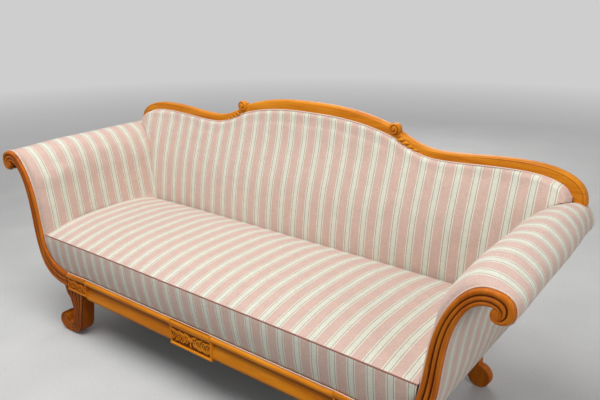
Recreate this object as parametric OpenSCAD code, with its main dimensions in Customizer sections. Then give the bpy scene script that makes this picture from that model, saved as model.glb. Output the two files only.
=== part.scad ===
// Three-seat scroll-arm sofa with a serpentine crest rail, striped cover and carved show-wood.
// X runs along the sofa, Y from the front plane to the back, Z up from the floor, in millimetres.
// The origin is on the floor, under the middle of the length and of the depth.

/* [Seat] */
// Width of the seat between the two arms at the front edge
seat_w = 1786; // [1400:2:2200]
// Height of the seam along the front edge of the seat
seat_h = 418; // [400:1:440]
// Rise of the seat's crown above the seam
seat_crown = 50; // [35:1:60]
// Depth from the foot of the back's stuffing to the outside back
back_foot_t = 146; // [120:1:180]
// Thickness of the stuffed seat edge under the seam
seat_edge_t = 42; // [30:1:60]

/* [Arms] */
// How far the eye of an arm scroll stands outside the seat
arm_reach = 194; // [170:1:220]
// Height of the show-wood scroll of an arm
arm_h = 746; // [700:1:760]
// Radius of the flat eye of a scroll
eye_r = 14; // [10:1:18]
// Thickness of the scroll facing
facing_t = 18; // [14:1:24]
// Depth of the grooves between the reeds
groove_d = 5; // [3:1:8]
// How far the arm roll draws in from front to back
arm_taper = 48; // [0:1:60]
// Thickness of the hidden boards behind the facing and at the back
board_t = 28; // [20:1:36]
// Thickness of the arm stuffing at its fullest
arm_stuffing = 28; // [16:1:36]

/* [Back] */
// Height of the crest rail's middle above the arm scrolls
back_rise = 219; // [190:1:280]
// Distance between the two carved scrolls of the crest
crest_scroll_span = 756; // [600:2:1000]
// How far inside the eyes of the arms the crest rail ends
crest_inset = 29; // [22:1:40]
// Drop of the crest rail from its middle to the carved scrolls
arch_drop = 54; // [40:1:80]
// Drop from the middle to the dips beside the arch
dip_drop = 109; // [98:1:130]
// Drop from the middle to the two side humps
hump_drop = 93; // [80:1:98]
// Height of the crest rail's ends above the arm scrolls
crest_end_rise = 15; // [10:1:30]
// Face width of the crest rail at its middle and ends
crest_face = 43; // [35:1:55]
// Thickness of the crest rail
crest_t = 46; // [30:1:60]
// Radius of the carved crest scrolls
crest_scroll_r = 21; // [14:1:24]

/* [Base] */
// Height of the lower edge of the seat frame
frame_z = 222; // [200:1:240]
// Height of the upper edge of the seat frame
frame_top = 290; // [280:1:310]
// Overall depth of the frame under the back
frame_d = 735; // [700:1:780]
// Thickness of the seat rails
rail_t = 40; // [30:1:50]
// Lower edge of the moulded face below the rails
lip_drop = 15; // [8:1:24]
// Width of a corner tablet
corner_tablet_w = 124; // [90:1:150]
// Width of the centre tablet
tablet_w = 208; // [140:2:280]

/* [Legs] */
// How far the top of a leg stands outside the end of the front rail
leg_out = 54; // [30:1:70]
// Width of a leg at its top
leg_top_w = 139; // [120:1:170]
// Radius of the outward foot scroll
foot_r = 43; // [34:1:48]
// Depth of a front leg
front_leg_d = 64; // [50:1:90]
// Depth of a rear leg
rear_leg_d = 34; // [25:1:50]

/* [Upholstery] */
// Width of the webbing straps
web_w = 50; // [40:1:60]
// Thickness of the webbing straps
web_t = 2.4; // [1.5:0.1:4]
// Number of springs along the seat
spring_cols = 7; // [5:1:9]
// Number of rows of springs
spring_rows = 3; // [2:1:3]
// Wire thickness of the springs
wire_d = 4; // [3:0.5:5]
// Thickness of the cover cloths
cloth_t = 1.5; // [1:0.1:2]
// Width of the braid along the wood
braid_w = 9; // [6:0.5:12]
// Thickness of the braid
braid_t = 2.5; // [1.5:0.1:4]

/* [Fasteners] */
// Diameter of the beech dowels
dowel_d = 10; // [6:1:12]
// Length of the dowels
dowel_l = 46; // [36:1:60]
// Shank diameter of the wood screws
screw_d = 4; // [3:0.5:6]
// Length of the wood screws
screw_l = 36; // [30:1:44]
// Head diameter of the wood screws
screw_head_d = 8; // [6:0.5:10]

/* [Hidden] */
$fn = 40;

// Clearance between stuffing and its neighbours, and the overrun of a cut
gap = 0.3;
over = 1;

// Places that follow from the sizes above
seat_x = seat_w / 2;
seat_d = frame_d - back_foot_t;
back_h = arm_h + back_rise;
crest_break_h = back_h - arch_drop;
crest_dip_h = back_h - dip_drop;
crest_hump_h = back_h - hump_drop;
crest_end_h = arm_h + crest_end_rise;
volute_x = seat_x + arm_reach;
crest_x = volute_x - crest_inset;
scroll_x = crest_scroll_span / 2;
rail_share = 0.783;
rail_x = seat_x - rail_share * arm_reach;
mould_x = rail_x - corner_tablet_w;
leg_x = rail_x + leg_out;
leg_in_x = leg_x - leg_top_w;
crest_setback = 43;
back_front_y = frame_d - crest_setback;
overall_d = back_front_y + crest_t;
arm_rise = arm_h - frame_top;

// Colours
wood = [0.80, 0.46, 0.13];
leg_wood = [0.66, 0.33, 0.10];
inner_wood = [0.86, 0.74, 0.55];
stripe = [0.88, 0.76, 0.70];
jute = [0.62, 0.50, 0.34];
braid = [0.90, 0.78, 0.70];
steel = [0.62, 0.63, 0.65];
black_cloth = [0.16, 0.16, 0.17];

// Curves
function lerp(a, b, t) = a + (b - a) * t;
function bezier(p, t) = pow(1 - t, 3) * p[0] + 3 * pow(1 - t, 2) * t * p[1]
    + 3 * (1 - t) * t * t * p[2] + pow(t, 3) * p[3];
function chain(c, n) = [for (s = [0 : (len(c) - 1) / 3 - 1]) for (k = [0 : n - 1])
    bezier([for (q = [0 : 3]) c[3 * s + q]], k / n), c[len(c) - 1]];
function reverse(l) = [for (i = [len(l) - 1 : -1 : 0]) l[i]];
function run(l, a, b) = [for (i = [a : b]) l[i]];
function unit(v) = v / norm(v);
function heading(l, i) = unit(l[min(i + 1, len(l) - 1)] - l[max(i - 1, 0)]);
function left_of(l, i) = [-heading(l, i)[1], heading(l, i)[0]];
function shifted(l, d) = [for (i = [0 : len(l) - 1]) l[i] + left_of(l, i) * d];
// Height of a line that runs steadily outward, at distance x from the middle
function height_at(l, x) = let (hits = [for (i = [0 : len(l) - 2]) if (l[i][0] <= x && l[i + 1][0] > x)
        lerp(l[i][1], l[i + 1][1], (x - l[i][0]) / (l[i + 1][0] - l[i][0]))])
    len(hits) > 0 ? max(hits) : x <= l[0][0] ? l[0][1] : l[len(l) - 1][1];
function ramp(v, a, b) = min(max((v - a) / (b - a), 0), 1);

// Arm outline: Bezier points as shares of the reach and rise of the scroll.
// The first list is the seat side and the top, the second the hollow outer side and the eye.
arm_in_shares = [[-0.783, 0.022], [-0.41, 0.022], [-0.13, 0.07], [-0.032, 0.18],
    [0.026, 0.268], [0.06, 0.355], [0.1, 0.478], [0.138, 0.592], [0.196, 0.693], [0.302, 0.781],
    [0.43, 0.886], [0.63, 1], [0.9, 1], [1.1, 1], [1.232, 0.97], [1.232, 0.904],
    [1.232, 0.855], [1.16, 0.822], [1.055, 0.822], [0.98, 0.822], [0.93, 0.842], [0.93, 0.871]];
arm_out_shares = [[-0.783, -0.145], [-0.33, -0.145], [-0.016, -0.088], [0.116, 0.035],
    [0.206, 0.118], [0.27, 0.237], [0.296, 0.355], [0.328, 0.493], [0.376, 0.658], [0.503, 0.763],
    [0.593, 0.844], [0.725, 0.906], [0.926, 0.906], [1, 0.908], [1.074, 0.897], [1.074, 0.873],
    [1.074, 0.856], [1.04, 0.844], [1, 0.844], [0.965, 0.844], [0.935, 0.856], [0.935, 0.873]];
// Sideways move of the same points at the back of the arm, as shares of the taper
arm_in_move_shares = [0, -0.3, -0.55, -0.55, -0.3, 0, 0.15, 0.3, 0.35, 0.3, 0.1, -0.25, -0.6,
    -0.85, -1, -1.05, -1.05, -1.05, -1, -0.95, -0.95, -0.95];
arm_out_move_shares = [0, -0.5, -0.95, -0.95, -0.85, -0.65, -0.35, 0, 0.15, 0, -0.3, -0.7, -0.9,
    -1, -1, -1, -1, -1, -1, -1, -1, -1];
arm_steps = 6;
function arm_line(shares, moves, r) = chain([for (i = [0 : len(shares) - 1])
    [seat_x + shares[i][0] * arm_reach + r * moves[i] * arm_taper,
     frame_top + shares[i][1] * arm_rise]], arm_steps);
function arm_in(r) = arm_line(arm_in_shares, arm_in_move_shares, r);
function arm_out(r) = arm_line(arm_out_shares, arm_out_move_shares, r);
eye_z = frame_top + 0.872 * arm_rise;

// How far along its taper the arm is at depth y
board_front_y = facing_t;
board_back_y = board_front_y + board_t;
rear_board_y = frame_d - board_t;
function taper_at(y) = ramp(y, board_back_y, rear_board_y);

// Insets of the hidden boards behind the cover
board_inset = 6;
cover_inset = 4;

// Crest rail outline
crest_end_l = 218;
hump_x = crest_x - crest_end_l;
dip_share = 0.38;
dip_x = lerp(scroll_x, hump_x, dip_share);
end_round_share = 2.5;
arch_round_share = 2.6;
crest_face_break = 0.86 * crest_face;
crest_face_dip = 0.76 * crest_face;
crest_face_hump = 0.84 * crest_face;
crest_steps = 12;
function swell(a, b, t) = lerp(a, b, (1 - cos(180 * t)) / 2);
// drop is 0 on the top edge and 1 on the lower edge
function crest_z(x, drop) = x <= scroll_x
    ? lerp(back_h - drop * crest_face, crest_break_h - drop * crest_face_break,
        pow(x / scroll_x, arch_round_share))
    : x <= dip_x
    ? lerp(crest_dip_h - drop * crest_face_dip, crest_break_h - drop * crest_face_break,
        pow((dip_x - x) / (dip_x - scroll_x), 2))
    : swell(crest_dip_h - drop * crest_face_dip, crest_hump_h - drop * crest_face_hump,
        (x - dip_x) / (hump_x - dip_x));
function crest_mid_line(drop) = [for (i = [-crest_steps : crest_steps])
    [scroll_x * i / crest_steps, crest_z(abs(scroll_x * i / crest_steps), drop)]];
crest_side_steps = 10;
crest_end_steps = 8;
function crest_side_line(drop) = concat(
    [for (i = [0 : crest_side_steps]) let (x = lerp(scroll_x, hump_x, i / crest_side_steps))
        [x, crest_z(x, drop)]],
    [for (i = [1 : crest_end_steps]) let (a = 90 * i / crest_end_steps)
        [hump_x + (crest_end_l - drop * crest_face) * pow(sin(a), 2 / end_round_share),
         crest_end_h + (crest_hump_h - drop * crest_face_hump - crest_end_h)
            * pow(cos(a), 2 / end_round_share)]]);
function crest_under() = concat(
    [for (p = reverse(crest_side_line(1))) [-p[0], p[1]]],
    [for (i = [1 - crest_steps : crest_steps - 1])
        [scroll_x * i / crest_steps, crest_z(abs(scroll_x * i / crest_steps), 1)]],
    crest_side_line(1));

// Helpers
module placed() translate([0, -overall_d / 2, 0]) children();
module slab(y0, y1) translate([0, y1, 0]) rotate([90, 0, 0]) linear_extrude(y1 - y0) children();
module beam(x0, x1) translate([x0, 0, 0]) rotate([90, 0, 90]) linear_extrude(x1 - x0) children();
module block(lo, hi) translate(lo) cube(hi - lo);
module on_side(side) mirror([side < 0 ? 1 : 0, 0, 0]) children();
module both() for (side = [-1, 1]) on_side(side) children();
// A closed skin between two families of lines with equal counts
module padded(outer, inner) {
    n = len(outer[0]);
    m = len(outer);
    ring = 2 * n;
    points = [for (j = [0 : m - 1]) each concat(outer[j], reverse(inner[j]))];
    function at(j, k) = j * ring + (k + ring) % ring;
    sides = [for (j = [0 : m - 2]) for (k = [0 : ring - 1]) each k < n
        ? [[at(j, k), at(j + 1, k), at(j, k + 1)], [at(j, k + 1), at(j + 1, k), at(j + 1, k + 1)]]
        : [[at(j, k), at(j + 1, k), at(j + 1, k + 1)], [at(j, k), at(j + 1, k + 1), at(j, k + 1)]]];
    first = [for (k = [0 : n - 2]) each
        [[at(0, k), at(0, k + 1), at(0, ring - 1 - k)],
         [at(0, k + 1), at(0, ring - 2 - k), at(0, ring - 1 - k)]]];
    last = [for (k = [0 : n - 2]) each
        [[at(m - 1, k), at(m - 1, ring - 1 - k), at(m - 1, k + 1)],
         [at(m - 1, k + 1), at(m - 1, ring - 1 - k), at(m - 1, ring - 2 - k)]]];
    polyhedron(points, concat(sides, first, last), convexity = 8);
}

// Seat rails
mould_y = 9;
mould_r_share = 0.4;
module rail_profile() {
    face_y = facing_t;
    h = frame_top - frame_z + lip_drop;
    r = mould_r_share * h;
    lip = lip_drop;
    difference() {
        union() {
            translate([mould_y, frame_z - lip_drop]) square([face_y - mould_y, h]);
            translate([mould_y + r / 4, frame_top - r / 2]) circle(r / 2);
        }
        translate([mould_y - lip / 4, frame_z + h / 4]) circle(lip);
        translate([face_y, frame_z - lip_drop - over]) square([h, h + 2 * over]);
        translate([mould_y - h, frame_top]) square([h, h]);
    }
}
module front_rail() color(wood) placed() difference() {
    union() {
        block([-rail_x, facing_t, frame_z], [rail_x, facing_t + rail_t, frame_top]);
        beam(-mould_x, mould_x) rail_profile();
    }
    block([-tablet_w / 2 - gap, -over, frame_z - lip_drop - over],
        [tablet_w / 2 + gap, facing_t, frame_top + over]);
    leg_dowel_places(dowel_d / 2 + gap);
    rail_dowel_places(dowel_d / 2 + gap);
}
end_rail_t = 35;
end_rail_x = rail_x + end_rail_t;
rear_rail_y = frame_d - rail_t;
module rear_rail() color(inner_wood) placed() difference() {
    block([-end_rail_x, rear_rail_y, frame_z], [end_rail_x, frame_d, frame_top]);
    leg_dowel_places(dowel_d / 2 + gap);
    rail_dowel_places(dowel_d / 2 + gap);
}
module end_rail(side) color(inner_wood) placed() on_side(side) difference() {
    block([rail_x, board_back_y, frame_z], [end_rail_x, rear_rail_y, frame_top]);
    rail_dowel_places(dowel_d / 2 + gap);
    block_screw_places(gap);
}
stretcher_w = 45;
stretcher_h = 40;
// The stretchers run midway between two columns of springs
spring_pitch_x = 2 * rail_x / spring_cols;
stretcher_x = spring_pitch_x * (round(spring_cols / 4) - (spring_cols % 2) / 2);
module seat_stretchers() color(inner_wood) placed() both()
    block([stretcher_x - stretcher_w / 2, facing_t + rail_t, frame_z],
        [stretcher_x + stretcher_w / 2, rear_rail_y, frame_z + stretcher_h]);
corner_leg = 70;
corner_low = 12;
corner_z = frame_z + corner_low;
corner_top = frame_top - corner_low;
module corner_blocks() color(inner_wood) placed() both() difference() {
    union() {
        corner_block(facing_t + rail_t, 1);
        corner_block(rear_rail_y, -1);
    }
    block_screw_places(gap);
}
module corner_block(y, way) translate([rail_x, y, corner_z]) linear_extrude(corner_top - corner_z)
    polygon([[0, 0], [-corner_leg, 0], [0, way * corner_leg]]);

// Applied tablets on the front rail
tablet_drop = 32;
tablet_top_drop = 9;
corner_tablet_drop = 10;
tablet_face = 4;
frame_b = 8;
module relief(w, h) difference() {
    square([w, h], center = true);
    square([w - 2 * frame_b, h - 2 * frame_b], center = true);
}
module centre_tablet() color(wood) placed() {
    z0 = frame_z - tablet_drop;
    h = frame_top - tablet_top_drop - z0;
    slab(tablet_face, facing_t) translate([-tablet_w / 2, z0]) square([tablet_w, h]);
    slab(0, tablet_face) translate([0, z0 + h / 2]) relief(tablet_w, h);
    slab(tablet_face / 2, tablet_face) translate([0, z0 + h / 2]) leaf_relief(tablet_w, h);
}
module leaf_relief(w, h) {
    circle(h / 7);
    for (s = [-1, 1]) for (k = [1 : 3])
        translate([s * k * w / 8, (k % 2 - 1 / 2) * h / 6]) circle(h / 9);
}
tablet_narrow = 7;
module corner_tablet(side) color(wood) placed() on_side(side) {
    w = rail_x - mould_x;
    z0 = frame_z - corner_tablet_drop;
    h = frame_top - tablet_narrow - z0;
    slab(tablet_face, facing_t) polygon([[mould_x, frame_z], [rail_x, frame_z],
        [rail_x, frame_top - tablet_narrow], [mould_x, frame_top]]);
    slab(tablet_face, front_leg_y - gap) translate([mould_x, z0]) square([w, frame_z - z0]);
    slab(0, tablet_face) translate([mould_x + w / 2, z0 + h / 2]) {
        relief(w - 2 * tablet_face, h - 2 * tablet_face);
        circle(h / 6);
    }
}

// Scroll legs: the outline hooks outward into a round foot
leg_in_shares = [[0, 1], [0.04, 0.85], [0.09, 0.7], [0.13, 0.52], [0.15, 0.3], [0.32, 0.02],
    [0.68, 0]];
leg_out_shares = [[1, 1], [1, 0.82], [0.7, 0.86], [0.66, 0.66], [0.62, 0.5], [0.6, 0.42],
    [0.8, 0.36]];
sole_w = 11;
leg_back_step = 3;
front_leg_y = facing_t - leg_back_step;
module leg_outline(x, r) {
    inner = chain([for (p = leg_in_shares) [leg_in_x + p[0] * leg_top_w, p[1] * frame_z]], arm_steps);
    outer = chain([for (p = leg_out_shares) [leg_in_x + p[0] * leg_top_w, p[1] * frame_z]], arm_steps);
    polygon(concat(inner, [[x, 0]], [[x, r]], reverse(outer)));
    translate([x, r]) circle(r);
    translate([x - sole_w, 0]) square([2 * sole_w, r / 2]);
}
foot_x = leg_x + foot_r / 4;
rear_foot_r = 0.84 * foot_r;
rear_foot_x = foot_x - foot_r;
module front_leg(side) color(leg_wood) placed() on_side(side) difference() {
    slab(front_leg_y, front_leg_y + front_leg_d) leg_outline(foot_x, foot_r);
    leg_dowel_places(dowel_d / 2 + gap);
}
module rear_leg(side) color(leg_wood) placed() on_side(side) difference() {
    slab(frame_d - rear_leg_d, frame_d) leg_outline(rear_foot_x, rear_foot_r);
    leg_dowel_places(dowel_d / 2 + gap);
}

// Arms: show-wood facing with two grooves, boards, rails
function blend(r, w) = let (a = arm_in(r), b = arm_out(r)) [for (i = [0 : len(a) - 1])
    lerp(a[i], b[i], w)];
groove_share = 0.05;
groove_mid_shares = [0.36, 0.68];
module scroll_outline() {
    polygon(concat(arm_in(0), reverse(run(arm_out(0), 0, 4 * arm_steps))));
}
module arm_facing(side) color(wood) placed() on_side(side) difference() {
    slab(0, facing_t) scroll_outline();
    for (w = groove_mid_shares)
        slab(-over, groove_d) polygon(concat(groove_edge(w - groove_share),
            reverse(groove_edge(w + groove_share))));
    slab(-over, groove_d) translate([volute_x, eye_z]) difference() {
        circle(eye_r + eye_groove_w);
        circle(eye_r);
    }
    facing_screw_places(gap);
}
eye_groove_w = 3;
groove_end_steps = 5 * arm_steps + 2;
function groove_edge(w) = run(blend(0, w), 2, groove_end_steps);
board_last_steps = 6 * arm_steps;
module board_outline(r) {
    a = arm_in(r);
    b = arm_out(r);
    last = 4 * arm_steps;
    intersection() {
        polygon(concat(run(shifted(a, -board_inset), 0, board_last_steps),
            reverse(run(shifted(b, cover_inset), 0, last))));
        translate([rail_x, 0]) square([volute_x, back_h]);
    }
}
module arm_front_board(side) color(inner_wood) placed() on_side(side) difference() {
    slab(board_front_y, board_back_y) board_outline(0);
    facing_screw_places(gap);
    rail_dowel_places(dowel_d / 2 + gap);
}
module arm_rear_board(side) color(inner_wood) placed() on_side(side) difference() {
    slab(rear_board_y, frame_d) board_outline(1);
    block([0, rear_rail_y - over, 0], [end_rail_x, frame_d + over, frame_top + post_w]);
}
// A rail that follows the arm between the two boards, from one point of its line to another
arm_mid_shares = [0.35, 0.62];
arm_mid_rows = arm_mid_shares * frame_d;
hessian_rows = concat([board_front_y, board_back_y], arm_mid_rows, [rear_board_y, frame_d]);
rail_rows = concat([board_back_y], arm_mid_rows, [rear_board_y]);
module arm_rail(first, last, t) padded(
    [for (y = rail_rows) placed_line(run(shifted(arm_in(taper_at(y)), -board_inset - gap),
        first, last), y)],
    [for (y = rail_rows) placed_line(run(shifted(arm_in(taper_at(y)), -board_inset - gap - t),
        first, last), y)]);
roll_rail_t = 20;
roll_rail_steps = [3 * arm_steps + 3, 4 * arm_steps - 1];
module arm_roll_rail(side) color(inner_wood) placed() on_side(side)
    arm_rail(roll_rail_steps[0], roll_rail_steps[1], roll_rail_t);
tuck_rail_t = 11;
tuck_rail_steps = [2 * arm_steps - 2, 2 * arm_steps + 2];
module arm_tuck_rail(side) color(inner_wood) placed() on_side(side)
    arm_rail(tuck_rail_steps[0], tuck_rail_steps[1], tuck_rail_t);
tuck_rail_h = 42;
tuck_z = seat_h + tuck_rail_h;

// Crest rail in three pieces with a carved scroll over each joint
// Its section as shares of the face height and of the thickness, from the foot of the front
crest_section_shares = [[0, 0.04], [0.05, 0], [0.78, 0], [0.95, 0.12], [1, 0.34], [0.97, 0.62],
    [0.8, 0.86], [0.55, 1], [0, 1]];
crest_back_y = back_front_y + crest_t;
scroll_proud = 12;
scroll_t = 32;
scroll_z = crest_break_h + crest_scroll_r / 5;
module crest_notch() both() slab(back_front_y - over, back_front_y - scroll_proud + scroll_t + gap)
    translate([scroll_x, scroll_z]) circle(crest_scroll_r + gap);
module lofted(rings) {
    m = len(rings);
    n = len(rings[0]);
    function at(j, k) = j * n + k % n;
    sides = [for (j = [0 : m - 2]) for (k = [0 : n - 1]) each
        [[at(j, k), at(j + 1, k), at(j, k + 1)], [at(j, k + 1), at(j + 1, k), at(j + 1, k + 1)]]];
    ends = [for (k = [1 : n - 2]) each
        [[at(0, 0), at(0, k), at(0, k + 1)], [at(m - 1, 0), at(m - 1, k + 1), at(m - 1, k)]]];
    polyhedron([for (r = rings) each r], concat(sides, ends), convexity = 6);
}
module crest_piece(top, foot) lofted([for (i = [0 : len(top) - 1]) [for (q = crest_section_shares)
    let (c = lerp(foot[i], top[i], q[0])) [c[0], back_front_y + q[1] * crest_t, c[1]]]]);
module crest_centre() color(wood) placed() difference() {
    crest_piece(crest_mid_line(0), crest_mid_line(1));
    crest_notch();
}
module crest_side(side) color(wood) placed() on_side(side) difference() {
    crest_piece(crest_side_line(0), crest_side_line(1));
    crest_notch();
}
leaf_l = 110;
leaf_w = 16;
module crest_scroll(side) color(wood) placed() on_side(side) {
    slab(back_front_y - scroll_proud, back_front_y - scroll_proud + scroll_t)
        translate([scroll_x, scroll_z]) circle(crest_scroll_r);
    slab(back_front_y - scroll_proud, back_front_y) crest_leaf();
}
leaf_steps = 8;
module crest_leaf() polygon(concat(
    [for (i = [0 : leaf_steps]) let (x = scroll_x + leaf_l * i / leaf_steps)
        [x, lerp(crest_z(x, 1), crest_z(x, 0), lerp(0.75, 0.45, i / leaf_steps))]],
    [for (i = [leaf_steps : -1 : 0]) let (x = scroll_x + leaf_l * i / leaf_steps)
        [x, lerp(crest_z(x, 1), crest_z(x, 0), lerp(0.15, 0.38, i / leaf_steps))]]));

// Back frame: raked posts and stiles under the crest
rake_t = 75;
rake_y0 = frame_d - rake_t;
rake_y1 = back_front_y + crest_t / 16;
function rake(z) = lerp(rake_y0, rake_y1, (z - frame_top) / (crest_dip_h - frame_top));
module raked_post(x0, x1) difference() {
    beam(x0, x1) polygon([[rake(frame_top), frame_top], [frame_d, frame_top],
        [frame_d, back_h], [rake(back_h), back_h]]);
    slab(0, overall_d + over) polygon(concat(crest_under(),
        [[crest_x, crest_end_h], [crest_x, back_h + over], [-crest_x, back_h + over],
         [-crest_x, crest_end_h]]));
}
post_w = 45;
module back_post(side) color(inner_wood) placed() on_side(side)
    raked_post(end_rail_x - post_w, end_rail_x);
stile_w = 40;
stile_in = 78;
stile_x = scroll_x - stile_in;
module back_stiles() color(inner_wood) placed() both()
    raked_post(stile_x - stile_w / 2, stile_x + stile_w / 2);
back_tuck_t = 22;
module back_tuck_rail() color(inner_wood) placed() {
    for (span = [[-end_rail_x + post_w, -stile_x - stile_w / 2],
            [-stile_x + stile_w / 2, stile_x - stile_w / 2],
            [stile_x + stile_w / 2, end_rail_x - post_w]])
        block([span[0], rake(tuck_z + tuck_rail_h), tuck_z],
            [span[1], rake(tuck_z + tuck_rail_h) + back_tuck_t, tuck_z + tuck_rail_h]);
}

// Webbing
long_straps = 4;
cross_straps = 11;
module seat_webbing() color(jute) placed() {
    reach = leg_in_x - web_w;
    for (i = [0 : cross_straps - 1]) let (x = lerp(-reach, reach, i / (cross_straps - 1)))
        block([x - web_w / 2, facing_t + rail_t / 3, frame_z - web_t],
            [x + web_w / 2, frame_d - rail_t / 3, frame_z]);
    y0 = front_leg_y + front_leg_d + web_w;
    y1 = rear_rail_y - web_w;
    for (i = [0 : long_straps - 1]) let (y = lerp(y0, y1, i / (long_straps - 1)))
        block([-end_rail_x + web_t, y - web_w / 2, frame_z - 2 * web_t - gap],
            [end_rail_x - web_t, y + web_w / 2, frame_z - web_t - gap]);
}
web_step = 1 + gap / web_t;
back_straps_up = 9;
back_straps_across = 3;
module raked_strap(x0, x1, z0, z1, layer) beam(x0, x1) polygon([
    [rake(z0) - layer * web_t, z0], [rake(z1) - layer * web_t, z1],
    [rake(z1) - (layer + 1) * web_t, z1], [rake(z0) - (layer + 1) * web_t, z0]]);
back_web_top = crest_dip_h - crest_face;
module back_webbing() color(jute) placed() {
    for (i = [0 : back_straps_across - 1])
        let (z = lerp(tuck_z + 2 * web_w, back_web_top - web_w, i / (back_straps_across - 1)))
            raked_strap(-end_rail_x, end_rail_x, z - web_w / 2, z + web_w / 2, 0);
    reach = end_rail_x - post_w - web_w;
    for (i = [0 : back_straps_up - 1])
        let (x = lerp(-reach, reach, i / (back_straps_up - 1)))
            raked_strap(x - web_w / 2, x + web_w / 2, tuck_z, back_web_top, web_step);
}
web_lie = 2 * web_t + 2 * gap;
module back_hessian() color(jute) placed() beam(-end_rail_x, end_rail_x) polygon([
    [rake(tuck_z) - web_lie, tuck_z], [rake(back_web_top) - web_lie, back_web_top],
    [rake(back_web_top) - web_lie - cloth_t, back_web_top],
    [rake(tuck_z) - web_lie - cloth_t, tuck_z]]);

// Springs: hourglass coils between the webbing and the hessian
spring_r = 42;
spring_waist = 26;
spring_turns = 4;
ring_steps = 6;
wire_sides = 4;
seat_stuffing = 44;
hessian_z = seat_h - seat_stuffing;
spring_z0 = frame_z + wire_d / 2 + gap;
spring_z1 = hessian_z - wire_d / 2 - gap;
function coil(t) = let (a = 360 * spring_turns * t, r = lerp(spring_waist, spring_r, pow(2 * t - 1, 2)))
    [r * cos(a), r * sin(a), lerp(spring_z0, spring_z1, t)];
module spring() {
    n = spring_turns * ring_steps;
    function wire(i) = let (t = i / n, a = 360 * spring_turns * t, c = coil(t), s = wire_d / 2)
        [for (k = [0 : wire_sides - 1]) let (b = 360 * k / wire_sides)
            c + s * [cos(b) * cos(a), cos(b) * sin(a), sin(b)]];
    points = [for (i = [0 : n]) each wire(i)];
    function at(i, k) = i * wire_sides + k % wire_sides;
    skin = [for (i = [0 : n - 1]) for (k = [0 : wire_sides - 1]) each
        [[at(i, k), at(i + 1, k), at(i, k + 1)], [at(i, k + 1), at(i + 1, k), at(i + 1, k + 1)]]];
    ends = [for (k = [1 : wire_sides - 2]) each
        [[at(0, 0), at(0, k), at(0, k + 1)], [at(n, 0), at(n, k + 1), at(n, k)]]];
    polyhedron(points, concat(skin, ends), convexity = 10);
}
spring_in = 60;
spring_y0 = facing_t + rail_t + seat_edge_t + spring_waist;
spring_y1 = seat_d - spring_in;
module seat_springs() color(steel) placed()
    for (i = [0 : spring_cols - 1]) for (j = [0 : spring_rows - 1])
        translate([spring_pitch_x * (i - (spring_cols - 1) / 2),
            lerp(spring_y0, spring_y1, j / (spring_rows - 1)), 0]) spring();
module spring_hessian() color(jute) placed()
    block([-pad_side_x + board_inset, facing_t + seat_edge_t + gap, hessian_z],
        [pad_side_x - board_inset, seat_d + board_inset, hessian_z + cloth_t]);

// Stuffed arms over the boards, and the taut cover on their outer side
pad_edge = 20;
pad_first_steps = 7;
pad_last_steps = 7 * arm_steps - 3;
// Fullness of the stuffing over the arm's line, at half steps: near the front, half way, at the back
pad_front_shares = [0.1, 0.3, 0.6, 0.8, 0.8, 0.8, 1.2, 0.92, 0.2, -0.12, 0.05, 0.05, 0.05, 0.05, 0.05];
pad_mid_shares = [0.1, 0.1, 0.1, 0.1, 0.22, 0.41, 0.95, 1.25, 0.1, -0.15, 0.04, 0.05, 0.05, 0.05, 0.05];
pad_back_shares = [0.1, 0.3, 0.5, 0.53, 0.6, 0.8, 1.2, 0.95, 0.35, 0.1, 0.08, 0.05, 0.05, 0.05, 0.05];
function fill_at(i, k) = let (s = 2 * i / arm_steps, j = min(floor(s), len(pad_front_shares) - 2),
    m = pad_mid_weights[k], b = pad_back_weights[k],
    l = pad_front_shares * (1 - m - b) + pad_mid_shares * m + pad_back_shares * b)
    lerp(l[j], l[j + 1], s - j);
pad_rows = concat([board_front_y + gap, board_back_y - pad_edge, board_back_y + pad_edge],
    arm_mid_rows, [rear_board_y - pad_edge, back_front_y - pad_edge / 4, frame_d]);
pad_full_shares = [0.1, 0.6, 0.95, 1, 1, 0.9, 0.35, 0.3];
pad_mid_weights = [0, 0, 0, 1, 0.5, 0, 0, 0];
pad_back_weights = [0, 0, 0, 0, 0.5, 1, 1, 1];
pad_lift_shares = [0, 0, 0.05, 0.5, 0.5, 0.5, 0, 0];
function pad_skin(k) = let (a = arm_in(taper_at(pad_rows[k])))
    [for (i = [0 : len(a) - 1]) a[i] + left_of(a, i)
        * (over + pad_full_shares[k] * arm_stuffing * fill_at(i, k))];
function lifted(l, lift) = [for (i = [0 : len(l) - 1])
    l[i] + [0, lift * arm_stuffing * exp(-pow((i / arm_steps - 4) / 0.8, 2))]];
function arm_skin(k) = lifted(pad_skin(k), pad_lift_shares[k]);
function placed_line(l, y) = [for (p = l) [p[0], y, p[1]]];

// Stuffed seat: crowned top, boxed front edge that ends on the arm scrolls
pad_side_x = seat_x - arm_stuffing;
seat_front_y = mould_y;
seat_cols = 26;
seat_drop_share = 0.1;
seat_rows_shares = [0, 0.015, 0.045, 0.08, 0.14, 0.3, 0.5, 0.7, 0.86, 0.95, 1];
seat_rise_shares = [0, 0.1, 0.2, 0.32, 0.5, 0.78, 0.92, 0.94, 0.82, 0.6, 0.45];
skirt_rows = 2;
seat_end_gap = 6;
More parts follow.
